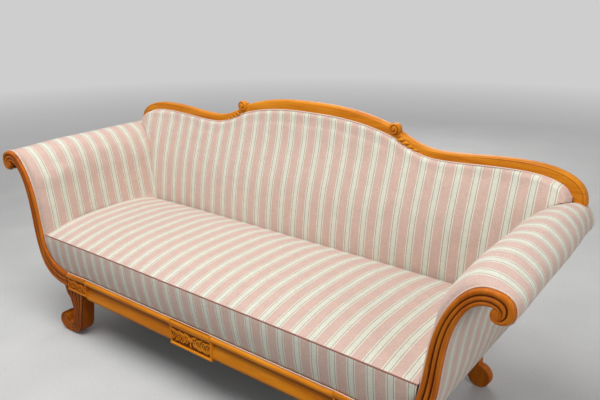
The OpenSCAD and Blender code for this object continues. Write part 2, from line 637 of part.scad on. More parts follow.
// Behind its border the seat ends on the stuffing of the arms, or inside their line where that is closer
function arm_x_at(z) = height_at([for (p = run(arm_in(0), 0, 3 * arm_steps)) [p[1], p[0]]], z) - 2 * gap;
skirt_top = seat_h - seat_edge_t / 2;
arm_low_xs = [for (k = [1 : len(pad_rows) - 2]) if (pad_rows[k] < seat_d)
    let (t = ramp(seat_d, pad_rows[k], pad_rows[k + 1]), l = arm_skin(k), m = arm_skin(k + 1))
    for (i = [pad_first_steps : 3 * arm_steps]) let (p = lerp(l[i], m[i], t))
        if (p[1] < seat_h + seat_crown) p[0]];
seat_side_x = min(pad_side_x, arm_x_at(hessian_z), min(arm_low_xs) - over);
seat_border_x = min(seat_x - seat_end_gap, arm_x_at(skirt_top) - over);
function seat_half_at(k) = k < skirt_rows ? seat_border_x : seat_side_x;
seat_end_drop = 4;
function seat_top(x, k) = let (u = abs(x) / seat_x)
    seat_h - seat_end_drop * pow(u, 4) + seat_crown * seat_rise_shares[k] * (1 - seat_drop_share * pow(u, 3));
function skirt_z(x) = gap + (abs(x) < rail_x
    ? lerp(frame_top, arm_in(0)[0][1], ramp(abs(x), mould_x, rail_x))
    : min(height_at(run(arm_in(0), 0, 3 * arm_steps), abs(x) + over), skirt_top));
function seat_bottom(x, k) = k < skirt_rows ? skirt_z(x) : hessian_z + cloth_t + gap;
function seat_line(k, top) = [for (i = [0 : seat_cols])
    let (x = seat_half_at(k) * sin(90 * (2 * i / seat_cols - 1)))
        [x, seat_front_y + (seat_d - gap - seat_front_y) * seat_rows_shares[k],
         top ? seat_top(x, k) : seat_bottom(x, k)]];
module seat_pad() color(stripe) placed() {
    rows = [0 : len(seat_rows_shares) - 1];
    padded([for (k = rows) seat_line(k, true)], [for (k = rows) seat_line(k, false)]);
}

// Stuffed back between the seat, the arms and the crest rail
back_tuck = 10;
back_side_gap = 3;
back_pad_z = seat_h - back_tuck;
back_pad_x = crest_x - crest_face - back_side_gap;
back_inner_cols = 8;
back_rows = 9;
back_lip = 12;
back_end_bulge = 26;
function back_front(x, z, top) = let (t = ramp(z, back_pad_z, top))
    lerp(seat_d + gap, back_front_y - back_lip - back_end_bulge * ramp(x, hump_x, back_pad_x), pow(t, 1.35))
        - back_lip * sin(180 * t);
function back_rear(z) = min(rake(z) - web_lie - cloth_t - gap, back_front_y - gap);
// The back rests on the arm stuffing: its foot follows the highest of the arm's last rows
arm_skins = [for (k = [4 : len(pad_rows) - 1]) run(arm_skin(k), pad_first_steps, 4 * arm_steps)];
arm_start_x = min([for (l = arm_skins) for (p = l) p[0]]) - over;
function pad_foot(x) = max(concat([back_pad_z], [for (l = arm_skins)
    if (abs(x) > arm_start_x) height_at(l, abs(x) + 2 * over) + over]));
// The back's columns stand closer together where they end on the arms
back_end_shares = [0.006, 0.03, 0.07, 0.12, 0.18, 0.26, 0.38, 0.54, 0.76, 1];
back_xs = concat([for (i = [0 : back_inner_cols]) arm_start_x * i / back_inner_cols],
    [for (t = back_end_shares) lerp(arm_start_x, back_pad_x, t)]);
back_col_xs = concat([for (i = [len(back_xs) - 1 : -1 : 1]) -back_xs[i]], back_xs);
function crest_low_at(x) = let (l = crest_side_line(1),
        hits = [for (i = [0 : len(l) - 2]) if (l[i][0] <= x && l[i + 1][0] >= x)
            lerp(l[i][1], l[i + 1][1], (x - l[i][0]) / max(l[i + 1][0] - l[i][0], gap / 100))])
    x <= scroll_x ? crest_z(x, 1) : len(hits) == 0 ? crest_end_h : hits[0];
function back_column(x, front) = let (z1 = crest_low_at(abs(x)) - crest_braid_h - 2 * gap,
    z0 = min(pad_foot(x), z1 - over))
    [for (k = [0 : back_rows]) let (z = lerp(z0, z1, k / back_rows))
        [x, front ? min(back_front(abs(x), z, z1), back_rear(z) - over) : back_rear(z), z]];
module back_pad() color(stripe) placed() {
    padded([for (x = back_col_xs) back_column(x, false)], [for (x = back_col_xs) back_column(x, true)]);
}

// The arm's stuffing and the cover on its outer side
module arm_pad(side) color(stripe) placed() on_side(side) {
    rows = [0 : len(pad_rows) - 1];
    padded([for (k = rows) placed_line(run(arm_skin(k), pad_first_steps, pad_last_steps), pad_rows[k])],
        [for (k = rows) placed_line(run(shifted(arm_in(taper_at(pad_rows[k])),
            cloth_t + gap - board_inset), pad_first_steps, pad_last_steps), pad_rows[k])]);
}

module arm_hessian(side) color(jute) placed() on_side(side)
    padded([for (y = hessian_rows) placed_line(run(shifted(arm_in(taper_at(y)),
            cloth_t - board_inset), pad_first_steps + 1, 4 * arm_steps), y)],
        [for (y = hessian_rows) placed_line(run(shifted(arm_in(taper_at(y)),
            -board_inset), pad_first_steps + 1, 4 * arm_steps), y)]);
module outside_arm(side) color(stripe) placed() on_side(side)
    padded([for (y = hessian_rows) placed_line(run(shifted(arm_out(taper_at(y)),
            cover_inset), 2, 4 * arm_steps - 3), y)],
        [for (y = hessian_rows) placed_line(run(shifted(arm_out(taper_at(y)),
            cover_inset - cloth_t), 2, 4 * arm_steps - 3), y)]);
module outside_back() color(stripe) placed() slab(frame_d, frame_d + cloth_t) {
    b = run(shifted(arm_out(1), cover_inset), 0, 3 * arm_steps + 2);
    top = [for (p = crest_under()) [p[0], p[1] - gap]];
    polygon(concat([for (p = b) [-p[0], p[1]]], top, reverse(b)));
}
module dust_cover() color(black_cloth) placed() {
    z = frame_z - 2 * web_t - cloth_t - 2 * gap;
    difference() {
        block([-rail_x, facing_t + over, z], [rail_x, frame_d - over, z + cloth_t]);
        both() block([leg_in_x - over, 0, z - over],
            [leg_x + over, front_leg_y + front_leg_d + over, z + 2 * over]);
        both() block([leg_in_x - over, frame_d - rear_leg_d - over, z - over],
            [leg_x + over, frame_d + over, z + 2 * over]);
    }
}

// Braid where the cover meets the wood
module seat_braid() color(braid) placed()
    block([-rail_x, seat_front_y - braid_t, frame_top],
        [rail_x, seat_front_y, frame_top + braid_w]);
arm_braid_w = 6;
braid_y = facing_t - arm_braid_w;
module arm_braid(side) color(braid) placed() on_side(side) slab(braid_y, facing_t) {
    a = arm_in(0);
    b = arm_out(0);
    first = arm_steps + 4;
    last = 6 * arm_steps;
    polygon(concat(run(shifted(a, braid_t), first, last), reverse(run(a, first, last))));
    polygon(concat(run(shifted(b, -braid_t), arm_steps, 4 * arm_steps - 2),
        reverse(run(b, arm_steps, 4 * arm_steps - 2))));
}
crest_braid_h = 4;
crest_braid_y = rake(crest_dip_h - crest_face_dip - crest_braid_h) - gap;
module crest_braid() color(braid) placed() slab(crest_braid_y - crest_braid_h, crest_braid_y) {
    line = run(crest_under(), crest_end_steps, crest_end_steps + 2 * (crest_side_steps + crest_steps));
    polygon(concat([for (p = line) [p[0], p[1] - gap]],
        [for (p = reverse(line)) [p[0], p[1] - crest_braid_h]]));
}

// Dowels and screws
module dowel(r) cylinder(r = r, h = dowel_l);
leg_dowel_xs = [leg_in_x + leg_top_w / 6, leg_in_x + leg_top_w / 2.6];
module leg_dowel_places(r) both() for (x = leg_dowel_xs)
    for (y = [facing_t + rail_t / 2, frame_d - rail_t / 2])
        translate([x, y, frame_z - dowel_l / 2]) dowel(r);
module leg_dowels() color(inner_wood) placed() leg_dowel_places(dowel_d / 2);
rail_dowel_in = 20;
rail_dowel_zs = [frame_z + rail_dowel_in, frame_top - rail_dowel_in];
module rail_dowel_places(r) both() for (z = rail_dowel_zs) {
    translate([(rail_x + end_rail_x) / 2, rear_rail_y - dowel_l / 2, z]) rotate([-90, 0, 0]) dowel(r);
    translate([rail_x - dowel_l / 2, board_front_y + board_t / 2, z]) rotate([0, 90, 0]) dowel(r);
}
module rail_dowels() color(inner_wood) placed() rail_dowel_places(dowel_d / 2);
screw_head_h = 3;
screw_at_shares = [1.6, 2.6, 3.4];
module wood_screw(clear) {
    cylinder(d = screw_d + 2 * clear, h = screw_l + clear);
    translate([0, 0, -clear]) cylinder(d = screw_head_d + 2 * clear, h = screw_head_h + clear);
}
module facing_screw_places(clear) for (s = screw_at_shares) {
    p = blend(0, 0.5)[round(s * arm_steps)];
    translate([p[0], board_back_y, p[1]]) rotate([90, 0, 0]) wood_screw(clear);
}
module facing_screws() color(steel) placed() both() facing_screw_places(0);
block_screw_z = (corner_z + corner_top) / 2;
module block_screw_places(clear) {
    translate([rail_x - corner_leg / 3, facing_t + rail_t + corner_leg / 3, block_screw_z])
        rotate([0, 90, 0]) wood_screw(clear);
    translate([rail_x - corner_leg / 3, rear_rail_y - corner_leg / 3, block_screw_z])
        rotate([0, 90, 0]) wood_screw(clear);
}
module block_screws() color(steel) placed() both() block_screw_places(0);

front_rail();
centre_tablet();
corner_tablet(-1);  // corner_tablet_left
corner_tablet(1);  // corner_tablet_right
front_leg(-1);  // front_leg_left
front_leg(1);  // front_leg_right
rear_leg(-1);  // rear_leg_left
rear_leg(1);  // rear_leg_right
arm_facing(-1);  // arm_facing_left
arm_facing(1);  // arm_facing_right
crest_centre();
crest_side(-1);  // crest_left
crest_side(1);  // crest_right
crest_scroll(-1);  // crest_scroll_left
crest_scroll(1);  // crest_scroll_right
rear_rail();
end_rail(-1);  // end_rail_left
end_rail(1);  // end_rail_right
seat_stretchers();
corner_blocks();
back_post(-1);  // back_post_left
back_post(1);  // back_post_right
back_stiles();
back_tuck_rail();
arm_front_board(-1);  // arm_front_board_left
arm_front_board(1);  // arm_front_board_right
arm_rear_board(-1);  // arm_rear_board_left
arm_rear_board(1);  // arm_rear_board_right
arm_roll_rail(-1);  // arm_roll_rail_left
arm_roll_rail(1);  // arm_roll_rail_right
arm_tuck_rail(-1);  // arm_tuck_rail_left
arm_tuck_rail(1);  // arm_tuck_rail_right
seat_webbing();
seat_springs();
spring_hessian();
back_webbing();
back_hessian();
arm_hessian(-1);  // arm_hessian_left
arm_hessian(1);  // arm_hessian_right
seat_pad();
back_pad();
arm_pad(-1);  // arm_pad_left
arm_pad(1);  // arm_pad_right
outside_arm(-1);  // outside_arm_left
outside_arm(1);  // outside_arm_right
outside_back();
dust_cover();
seat_braid();
arm_braid(-1);  // arm_braid_left
arm_braid(1);  // arm_braid_right
crest_braid();
leg_dowels();
rail_dowels();
facing_screws();
block_screws();
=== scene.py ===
"""Looks of a three-seat sofa with scrolled arms, a serpentine crest rail and a striped cover.

Metres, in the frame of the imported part: X runs along the sofa, Y from front to back, Z up.
Every new piece is a surface worked out on a grid of two parameters; y counts from the front plane.
"""

import math

import bpy
from mathutils import Matrix, Vector
import numpy as np


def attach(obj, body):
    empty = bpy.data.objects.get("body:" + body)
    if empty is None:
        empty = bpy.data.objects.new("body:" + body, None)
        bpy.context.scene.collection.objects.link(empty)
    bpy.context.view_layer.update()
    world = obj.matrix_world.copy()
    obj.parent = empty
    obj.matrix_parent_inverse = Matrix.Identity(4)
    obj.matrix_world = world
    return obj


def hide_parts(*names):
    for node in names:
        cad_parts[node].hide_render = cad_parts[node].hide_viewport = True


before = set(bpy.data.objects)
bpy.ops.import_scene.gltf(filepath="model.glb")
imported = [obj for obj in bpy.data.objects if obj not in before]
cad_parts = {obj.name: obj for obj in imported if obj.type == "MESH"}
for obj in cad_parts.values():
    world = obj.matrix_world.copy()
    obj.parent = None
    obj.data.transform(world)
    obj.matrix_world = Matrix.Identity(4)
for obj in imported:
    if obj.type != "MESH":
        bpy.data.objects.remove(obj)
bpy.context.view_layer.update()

FRONT_PLANE = -0.369
SEAT_X, ARM_REACH, FRAME_TOP, ARM_RISE, ARM_TAPER = 0.893, 0.194, 0.290, 0.456, 0.048
ARM_H = FRAME_TOP + ARM_RISE
RAIL_X, MOULD_X, TABLET_W = 0.7411, 0.6171, 0.208
FRAME_Z, LIP_Z, RAIL_TOP = 0.222, 0.1955, 0.2868
TABLET_Z0, TABLET_Z1, CORNER_Z0, CORNER_Z1 = 0.190, 0.2892, 0.212, 0.283
FACING_T, FRAME_D = 0.018, 0.735
BACK_H, BREAK_H, DIP_H, HUMP_H, END_H = 0.965, 0.911, 0.856, 0.872, 0.761
SCROLL_X, CREST_X, CREST_FACE, CREST_T, CREST_Y = 0.378, 1.058, 0.043, 0.046, 0.692
HUMP_X = CREST_X - 0.218
DIP_X = SCROLL_X + 0.38 * (HUMP_X - SCROLL_X)
SEAT_H, SEAT_D, SEAT_CROWN = 0.418, 0.589, 0.050
STRIPE = 0.0658


# ---- Small tools -------------------------------------------------------------------------------

def smooth(v, a, b):
    """Rises from 0 at a to 1 at b without a kink."""
    t = np.clip((np.asarray(v, float) - a) / (b - a), 0, 1)
    return t * t * (3 - 2 * t)


def curve(points, t):
    """A chain of cubic Bezier curves, three points a span, at parameter t counted in spans."""
    points, t = np.asarray(points, float), np.atleast_1d(np.asarray(t, float))
    span = np.clip(np.floor(t).astype(int), 0, (len(points) - 1) // 3 - 1)
    f = t - span
    w = np.stack([(1 - f) ** 3, 3 * (1 - f) ** 2 * f, 3 * (1 - f) * f * f, f ** 3], -1)
    return (w[..., None] * points[3 * span[..., None] + np.arange(4)]).sum(-2)


def smooth_line(points, n):
    """n points spaced evenly along a smooth (Catmull-Rom) line through the given points."""
    p = np.asarray(points, float)
    p = np.vstack([2 * p[0] - p[1], p, 2 * p[-1] - p[-2]])
    t = np.linspace(0, len(p) - 3, 40 * (len(p) - 3) + 1)
    i = np.minimum(t.astype(int), len(p) - 4)
    f = (t - i)[:, None]
    a, b, c, d = p[i], p[i + 1], p[i + 2], p[i + 3]
    q = 0.5 * (2 * b + (c - a) * f + (2 * a - 5 * b + 4 * c - d) * f ** 2 + (3 * b - a - 3 * c + d) * f ** 3)
    s = np.r_[0, np.cumsum(np.linalg.norm(np.diff(q, axis=0), axis=1))]
    e = np.linspace(0, s[-1], n)
    return np.stack([np.interp(e, s, q[:, k]) for k in range(q.shape[1])], -1)


def left_of(line):
    """Unit normals to the left of a plane line's run."""
    h = np.gradient(line, axis=-2)
    h /= np.linalg.norm(h, axis=-1, keepdims=True)
    return np.stack([-h[..., 1], h[..., 0]], -1)


def grid_quads(nu, nv, wrap_u=False, wrap_v=False):
    """Quads between neighbours on a grid of nu by nv points, joined round where it wraps."""
    i = np.arange(nu if wrap_u else nu - 1)[:, None]
    j = np.arange(nv if wrap_v else nv - 1)[None, :]
    i2, j2 = (i + 1) % nu, (j + 1) % nv
    return np.stack(np.broadcast_arrays(i * nv + j, i2 * nv + j, i2 * nv + j2, i * nv + j2), -1).reshape(-1, 4)


def skin(rings, wrap=False, cap="zip"):
    """A skin over closed rings (m, n, 3); its ends close like a zip, between point k and point n-1-k, or with one flat face."""
    m, n = rings.shape[:2]
    faces = [grid_quads(m, n, wrap_u=wrap, wrap_v=True)]
    if not wrap and cap == "zip":
        k = np.arange(n // 2 - 1)
        strip = np.stack([k, k + 1, n - 2 - k, n - 1 - k], -1)
        faces += [strip, strip[:, ::-1] + (m - 1) * n]
    elif not wrap:
        faces += [np.arange(n)[None, :], (np.arange(n)[::-1] + (m - 1) * n)[None, :]]
    return rings.reshape(-1, 3), faces


def both_ways(part):
    """The part and its mirror image across the middle of the sofa."""
    v, faces, *extra = part
    return [part, (v * [-1, 1, 1], [f[:, ::-1] for f in faces], *extra)]


def volume(v, faces):
    """Volume inside a closed skin: the sum of the tetrahedra from the origin to its fanned faces."""
    total = 0.0
    for f in faces:
        a = v[f[:, 0]]
        for k in range(1, f.shape[1] - 1):
            total += np.einsum("ij,ij->i", a, np.cross(v[f[:, k]], v[f[:, k + 1]])).sum() / 6
    return total


def piece(name, parts, material, replaces=(), crease=35, flat=False):
    """One object from closed skins, faces outwards, riding on the root.

    A part is (vertices with y from the front plane, face arrays, optional {attribute: a value for each vertex})."""
    verts, loops, sizes, base = [], [], [], 0
    marks = {key for part in parts if len(part) > 2 for key in part[2]}
    values = {key: [] for key in marks}
    for v, faces, *extra in parts:
        v = np.asarray(v, float)
        if volume(v, faces) < 0:
            faces = [f[:, ::-1] for f in faces]
        for f in faces:
            loops.append(f.ravel() + base)
            sizes.append(np.full(len(f), f.shape[1]))
        verts.append(v + [0, FRONT_PLANE, 0])
        for key in marks:
            values[key].append(np.asarray(extra[0][key], float).ravel() if extra and key in extra[0] else np.zeros(len(v)))
        base += len(v)
    verts, loops, sizes = np.concatenate(verts), np.concatenate(loops), np.concatenate(sizes)
    me = bpy.data.meshes.new(name)
    me.vertices.add(len(verts))
    me.vertices.foreach_set("co", verts.ravel())
    me.loops.add(len(loops))
    me.loops.foreach_set("vertex_index", loops.astype(np.int32))
    me.polygons.add(len(sizes))
    me.polygons.foreach_set("loop_start", np.r_[0, np.cumsum(sizes)[:-1]].astype(np.int32))
    me.polygons.foreach_set("use_smooth", np.full(len(sizes), not flat))
    me.update(calc_edges=True)
    me.validate()
    for key in sorted(marks):
        me.attributes.new(key, "FLOAT", "POINT").data.foreach_set("value", np.concatenate(values[key]).astype(np.float32))
    if not flat:
        me.set_sharp_from_angle(angle=math.radians(crease))
    me.materials.append(material)
    obj = bpy.data.objects.new(name, me)
    bpy.context.scene.collection.objects.link(obj)
    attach(obj, "root")
    if replaces:
        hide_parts(*([replaces] if isinstance(replaces, str) else replaces))
    return obj


def cord_along(path, radius, sides=10, up=(0, 1, 0)):
    """A round cord along a path: a circle carried square to the path's run."""
    path = np.asarray(path, float)
    t = np.gradient(path, axis=0)
    t /= np.linalg.norm(t, axis=1, keepdims=True)
    a = np.cross(t, np.asarray(up, float))
    a /= np.maximum(np.linalg.norm(a, axis=1, keepdims=True), 1e-9)
    b = np.cross(a, t)
    c = 2 * np.pi * np.arange(sides) / sides
    r = np.broadcast_to(np.asarray(radius, float), (len(path),))[:, None, None]
    rings = path[:, None] + r * (a[:, None] * np.cos(c)[None, :, None] + b[:, None] * np.sin(c)[None, :, None])
    return skin(rings, cap="flat")


def along(profile_yz, x0, x1, hollow=None):
    """A closed profile in y and z carried along X from x0 to x1, with flat ends."""
    p = np.asarray(profile_yz, float)
    rings = np.empty((2, len(p), 3))
    rings[..., 0] = np.array([[x0], [x1]])
    rings[..., 1:] = p
    dark = np.zeros(len(p)) if hollow is None else np.asarray(hollow, float)
    return *skin(rings, cap="flat"), {"hollow": np.tile(dark, 2)}


def stuffed(obj, held, pressure=3.0, most=0.005):
    """Fills a padded piece by cloth simulation: its tacked points are held, air presses the rest outwards for 18 frames.

    A move d is cut to most * tanh(d / most). The result is written into the mesh and one subdivision rounds it."""
    me = obj.data
    start = np.empty(3 * len(me.vertices))
    me.vertices.foreach_get("co", start)
    start = start.reshape(-1, 3)
    tacked = obj.vertex_groups.new(name="tacked")
    tacked.add(np.nonzero(held)[0].tolist(), 1.0, "REPLACE")
    cloth = obj.modifiers.new("stuffing", "CLOTH")
    cloth.settings.quality = 4
    cloth.settings.mass = 0.3
    cloth.settings.tension_stiffness = cloth.settings.compression_stiffness = 12
    cloth.settings.shear_stiffness, cloth.settings.bending_stiffness = 4, 0.4
    cloth.settings.vertex_group_mass = "tacked"
    cloth.settings.use_pressure, cloth.settings.uniform_pressure_force = True, pressure
    cloth.settings.effector_weights.gravity = 0
    cloth.collision_settings.use_collision = cloth.collision_settings.use_self_collision = False
    cloth.point_cache.frame_start, cloth.point_cache.frame_end = 1, 18
    for step in range(1, 19):
        bpy.context.scene.frame_set(step)
    filled = obj.evaluated_get(bpy.context.evaluated_depsgraph_get()).data
    end = np.empty(start.size)
    filled.vertices.foreach_get("co", end)
    move = end.reshape(-1, 3) - start
    far = np.linalg.norm(move, axis=1, keepdims=True)
    me.vertices.foreach_set("co", (start + move * np.where(far > 1e-9, most * np.tanh(far / most) / np.maximum(far, 1e-9), 0)).ravel())
    obj.modifiers.remove(cloth)
    obj.vertex_groups.remove(tacked)
    bpy.context.scene.frame_set(1)
    me.update()
    rounding = obj.modifiers.new("rounding", "SUBSURF")
    rounding.levels = rounding.render_levels = 1


# ---- Finishes ----------------------------------------------------------------------------------

def linear(r, g, b):
    """Screen colour from 0 to 255 as linear light."""
    c = np.array([r, g, b]) / 255
    c = np.where(c <= 0.04045, c / 12.92, ((c + 0.055) / 1.055) ** 2.4)
    return (*[float(k) for k in c], 1.0)


class Socket:
    """A value inside a finish; sums on it add Math nodes."""

    def __init__(self, paint, out):
        self.paint, self.out = paint, out

    def math(self, operation, *values):
        return self.paint.add("ShaderNodeMath", {"operation": operation}, dict(enumerate(values)))

    def __add__(self, o): return self.math("ADD", self, o)
    def __radd__(self, o): return self.math("ADD", o, self)
    def __sub__(self, o): return self.math("SUBTRACT", self, o)
    def __rsub__(self, o): return self.math("SUBTRACT", o, self)
    def __mul__(self, o): return self.math("MULTIPLY", self, o)
    def __rmul__(self, o): return self.math("MULTIPLY", o, self)
    def __truediv__(self, o): return self.math("DIVIDE", self, o)
    def __gt__(self, o): return self.math("GREATER_THAN", self, o)
    def __pow__(self, o): return self.math("POWER", self, o)
    def sin(self): return self.math("SINE", self)
    def fract(self): return self.math("FRACT", self)
    def abs(self): return self.math("ABSOLUTE", self)
    def top(self, o): return self.math("MAXIMUM", self, o)


class Paint:
    """One material and its nodes."""

    def __init__(self, name, **constants):
        self.material = bpy.data.materials.new(name)
        self.material.use_nodes = True
        self.tree = self.material.node_tree
        self.shader = self.tree.nodes["Principled BSDF"]
        for key, value in constants.items():
            self.shader.inputs[key.replace("_", " ").title().replace("Ior", "IOR")].default_value = value
        place = self.add("ShaderNodeTexCoord", {}, {}, "Object")
        self.place = place
        self.x, self.y, self.z = (self.add("ShaderNodeSeparateXYZ", {}, {0: place}, k) for k in "XYZ")

    def add(self, kind, settings, values, out=0):
        """A node of a kind: its settings first, then the values or links of its sockets."""
        node = self.tree.nodes.new(kind)
        for key, value in settings.items():
            setattr(node, key, value)
        for key, value in values.items():
            if isinstance(value, Socket):
                self.tree.links.new(value.out, node.inputs[key])
            else:
                node.inputs[key].default_value = value
        return Socket(self, node.outputs[out])

    def attribute(self, name):
        """A value that the mesh carries at each of its points."""
        return self.add("ShaderNodeAttribute", {"attribute_name": name, "attribute_type": "GEOMETRY"}, {}, "Fac")

    def ramp(self, value, stops, interpolation="LINEAR"):
        """Colour from a value through stops of (place, colour)."""
        node = self.tree.nodes.new("ShaderNodeValToRGB")
        node.color_ramp.interpolation = interpolation
        marks = node.color_ramp.elements
        marks[0].position, marks[0].color = stops[0]
        marks[1].position, marks[1].color = stops[-1]
        for place, colour in stops[1:-1]:
            marks.new(place).color = colour
        self.tree.links.new(value.out, node.inputs[0])
        return Socket(self, node.outputs[0])

    def noise(self, scale, detail=3.0, stretch=None, roughness=0.5):
        """Noise in object space, drawn out along the axes by stretch."""
        place = self.place
        if stretch:
            place = self.add("ShaderNodeMapping", {}, {"Vector": place, "Scale": stretch})
        return self.add("ShaderNodeTexNoise", {}, {"Vector": place, "Scale": scale, "Detail": detail,
                                                   "Roughness": roughness})

    def mix(self, factor, a, b, blend="MIX"):
        return self.add("ShaderNodeMix", {"data_type": "RGBA", "blend_type": blend}, {0: factor, 6: a, 7: b}, 2)

    def finish(self, colour, roughness, height=None, depth=0.001, strength=1.0):
        """Joins colour, roughness and a bump of the given depth in metres to the shader."""
        for key, value in (("Base Color", colour), ("Roughness", roughness)):
            if isinstance(value, Socket):
                self.tree.links.new(value.out, self.shader.inputs[key])
            else:
                self.shader.inputs[key].default_value = value
        if height is not None:
            bump = self.add("ShaderNodeBump", {}, {"Strength": strength, "Distance": depth, "Height": height})
            self.tree.links.new(bump.out, self.shader.inputs["Normal"])
        return self.material


def polished_wood(name, grain, light, mid, dark, deep, gloss=0.42):
    """Polished wood: soft streaks drawn out along the grain, cloudy figure, and painted shade: the deep colour laid
    into the hollows of the carving.
    """
    p = Paint(name, coat_weight=0.05, coat_roughness=0.22, specular_ior_level=0.16)
    drawn = {"x": (0.07, 1, 1), "y": (1, 0.07, 1), "z": (1, 1, 0.07)}[grain]
    streak = p.noise(46, 5, drawn, 0.6)
    cloud = p.noise(7, 2, {"x": (0.4, 1, 1), "y": (1, 0.4, 1), "z": (1, 1, 0.4)}[grain])
    pore = p.noise(330, 2, {"x": (0.04, 1, 1), "y": (1, 0.04, 1), "z": (1, 1, 0.04)}[grain])
    base = p.ramp(streak * 0.55 + cloud * 0.45, [(0.32, dark), (0.49, mid), (0.66, light)])
    marks = p.ramp(pore, [(0.34, (0.62, 0.50, 0.36, 1)), (0.43, (1, 1, 1, 1))])
    colour = p.mix(0.4, base, marks, "MULTIPLY")
    hollow = p.attribute("hollow")
    # painted shade: where the hollow attribute is high, the colour turns to the deep colour
    colour = p.mix(hollow, colour, deep)
    return p.finish(colour, gloss + 0.14 * streak + 0.25 * hollow, streak * 0.6 + pore * 0.4, 0.0004, 0.3)


def striped_cloth(name):
    """Woven stripes counted by the attribute "across", in metres: a pink band, thin cream and grey-green lines, a pale band.

    Fine ribs run across the stripes, with slubs along the thread and a soft mottle."""
    pink, cream = linear(207, 178, 165), linear(222, 216, 201)
    dark, pale = linear(162, 162, 142), linear(215, 213, 198)
    p = Paint(name, specular_ior_level=0.2, sheen_weight=0.22, sheen_roughness=0.5)
    line, along_line = p.attribute("across"), p.attribute("down")
    t = (line / STRIPE + 0.5 + 0.02 * (p.noise(6, 2) - 0.5)).fract()
    off = (t - 0.5).abs()
    stops = [(0.0, pale), (0.118, pale), (0.138, dark), (0.160, dark), (0.180, cream), (0.215, cream),
             (0.245, pink), (0.5, pink)]
    colour = p.ramp(off, stops)
    rib = (along_line * (2 * math.pi / 0.0026)).sin() * 0.5 + 0.5
    thread = p.noise(620, 2)
    slub = p.noise(210, 3)
    shade = p.noise(30, 3)
    tone = 0.60 + 0.20 * thread + 0.42 * slub + 0.18 * shade
    grey = p.add("ShaderNodeCombineColor", {}, {0: tone, 1: tone, 2: tone})
    colour = p.mix(1.0, colour, grey, "MULTIPLY")
    return p.finish(colour, 0.88, rib * 0.5 + thread * 0.6 + slub * 0.5, 0.0010, 0.55)


def corded_braid(name, dark, light):
    """Gimp and piping: slanting twists of two threads."""
    p = Paint(name, specular_ior_level=0.3)
    slant = ((p.x + p.y + p.z * 0.8) * (2 * math.pi / 0.0055)).sin() * 0.5 + 0.5
    thread = p.noise(600, 2)
    colour = p.ramp(slant * 0.8 + thread * 0.2, [(0.1, dark), (0.6, light)])
    return p.finish(colour, 0.8, slant, 0.0012, 0.7)


def raw_wood(name):
    """Plain planed beech under the cover."""
    p = Paint(name)
    streak = p.noise(90, 4, (0.08, 1, 1))
    colour = p.ramp(streak, [(0.3, linear(176, 136, 92)), (0.7, linear(214, 180, 134))])
    return p.finish(colour, 0.6 + 0.2 * streak, streak, 0.0004, 0.4)


def jute_cloth(name):
    """Coarse jute: two crossed sets of ribs with loose threads."""
    p = Paint(name, specular_ior_level=0.2)
    warp = ((p.x + p.z * 0.4) * (2 * math.pi / 0.003)).sin()
    weft = ((p.y + p.z * 0.7) * (2 * math.pi / 0.003)).sin()
    thread = p.noise(300, 3)
    weave = warp * weft * 0.5 + 0.5
    colour = p.ramp(weave * 0.6 + thread * 0.4, [(0.2, linear(122, 96, 62)), (0.8, linear(186, 156, 112))])
    return p.finish(colour, 0.9, weave, 0.0012, 0.8)


def dark_lining(name):
    """Black bottom cloth with a faint weave."""
    p = Paint(name, specular_ior_level=0.2)
    weave = (p.x * (2 * math.pi / 0.002)).sin() * (p.y * (2 * math.pi / 0.002)).sin() * 0.5 + 0.5
    fuzz = p.noise(200, 3)
    colour = p.ramp(weave * 0.5 + fuzz * 0.5, [(0.2, linear(34, 34, 36)), (0.8, linear(62, 62, 64))])
    return p.finish(colour, 0.92, weave, 0.0006, 0.5)


def sprung_steel(name):
    """Spring wire with a thin brown film."""
    p = Paint(name, metallic=0.9)
    film = p.noise(60, 4)
    colour = p.ramp(film, [(0.35, linear(150, 152, 156)), (0.62, linear(122, 104, 88))])
    return p.finish(colour, 0.35 + 0.3 * film, film, 0.0002, 0.3)


# In each set, deep is the painted shade laid into the hollows. The facings' set is a darker copy of the crest's wood:
# painted shade for faces that look to the front.
honey = dict(light=linear(222, 144, 34), mid=linear(202, 121, 16), dark=linear(170, 90, 6), deep=linear(118, 54, 2))
golden = dict(light=linear(244, 158, 38), mid=linear(224, 134, 16), dark=linear(192, 100, 6), deep=linear(112, 48, 0))
amber_shaded = dict(light=linear(206, 118, 24), mid=linear(184, 94, 10), dark=linear(152, 71, 4), deep=linear(104, 46, 2))
chestnut = dict(light=linear(200, 112, 22), mid=linear(174, 88, 8), dark=linear(140, 64, 4), deep=linear(62, 22, 0))
wood_x = polished_wood("crest_wood", "x", **honey)
rail_wood = polished_wood("rail_wood", "x", **golden)
wood_z = polished_wood("facing_wood", "z", **amber_shaded)
leg_finish = polished_wood("leg_wood", "z", **chestnut)
striped = striped_cloth("striped_cover")
gimp = corded_braid("gimp_braid", linear(206, 174, 158), linear(236, 218, 202))
# The seat's seam cord is coloured darker than the cover: a real cord, darkened as painted shade along the seam.
shaded_seam_cord = corded_braid("shaded_seam_cord", linear(128, 78, 70), linear(184, 130, 118))
beech, jute, lining, steel = raw_wood("frame_beech"), jute_cloth("jute_cloth"), dark_lining("bottom_lining"), sprung_steel("spring_steel")


# ---- Arms --------------------------------------------------------------------------------------

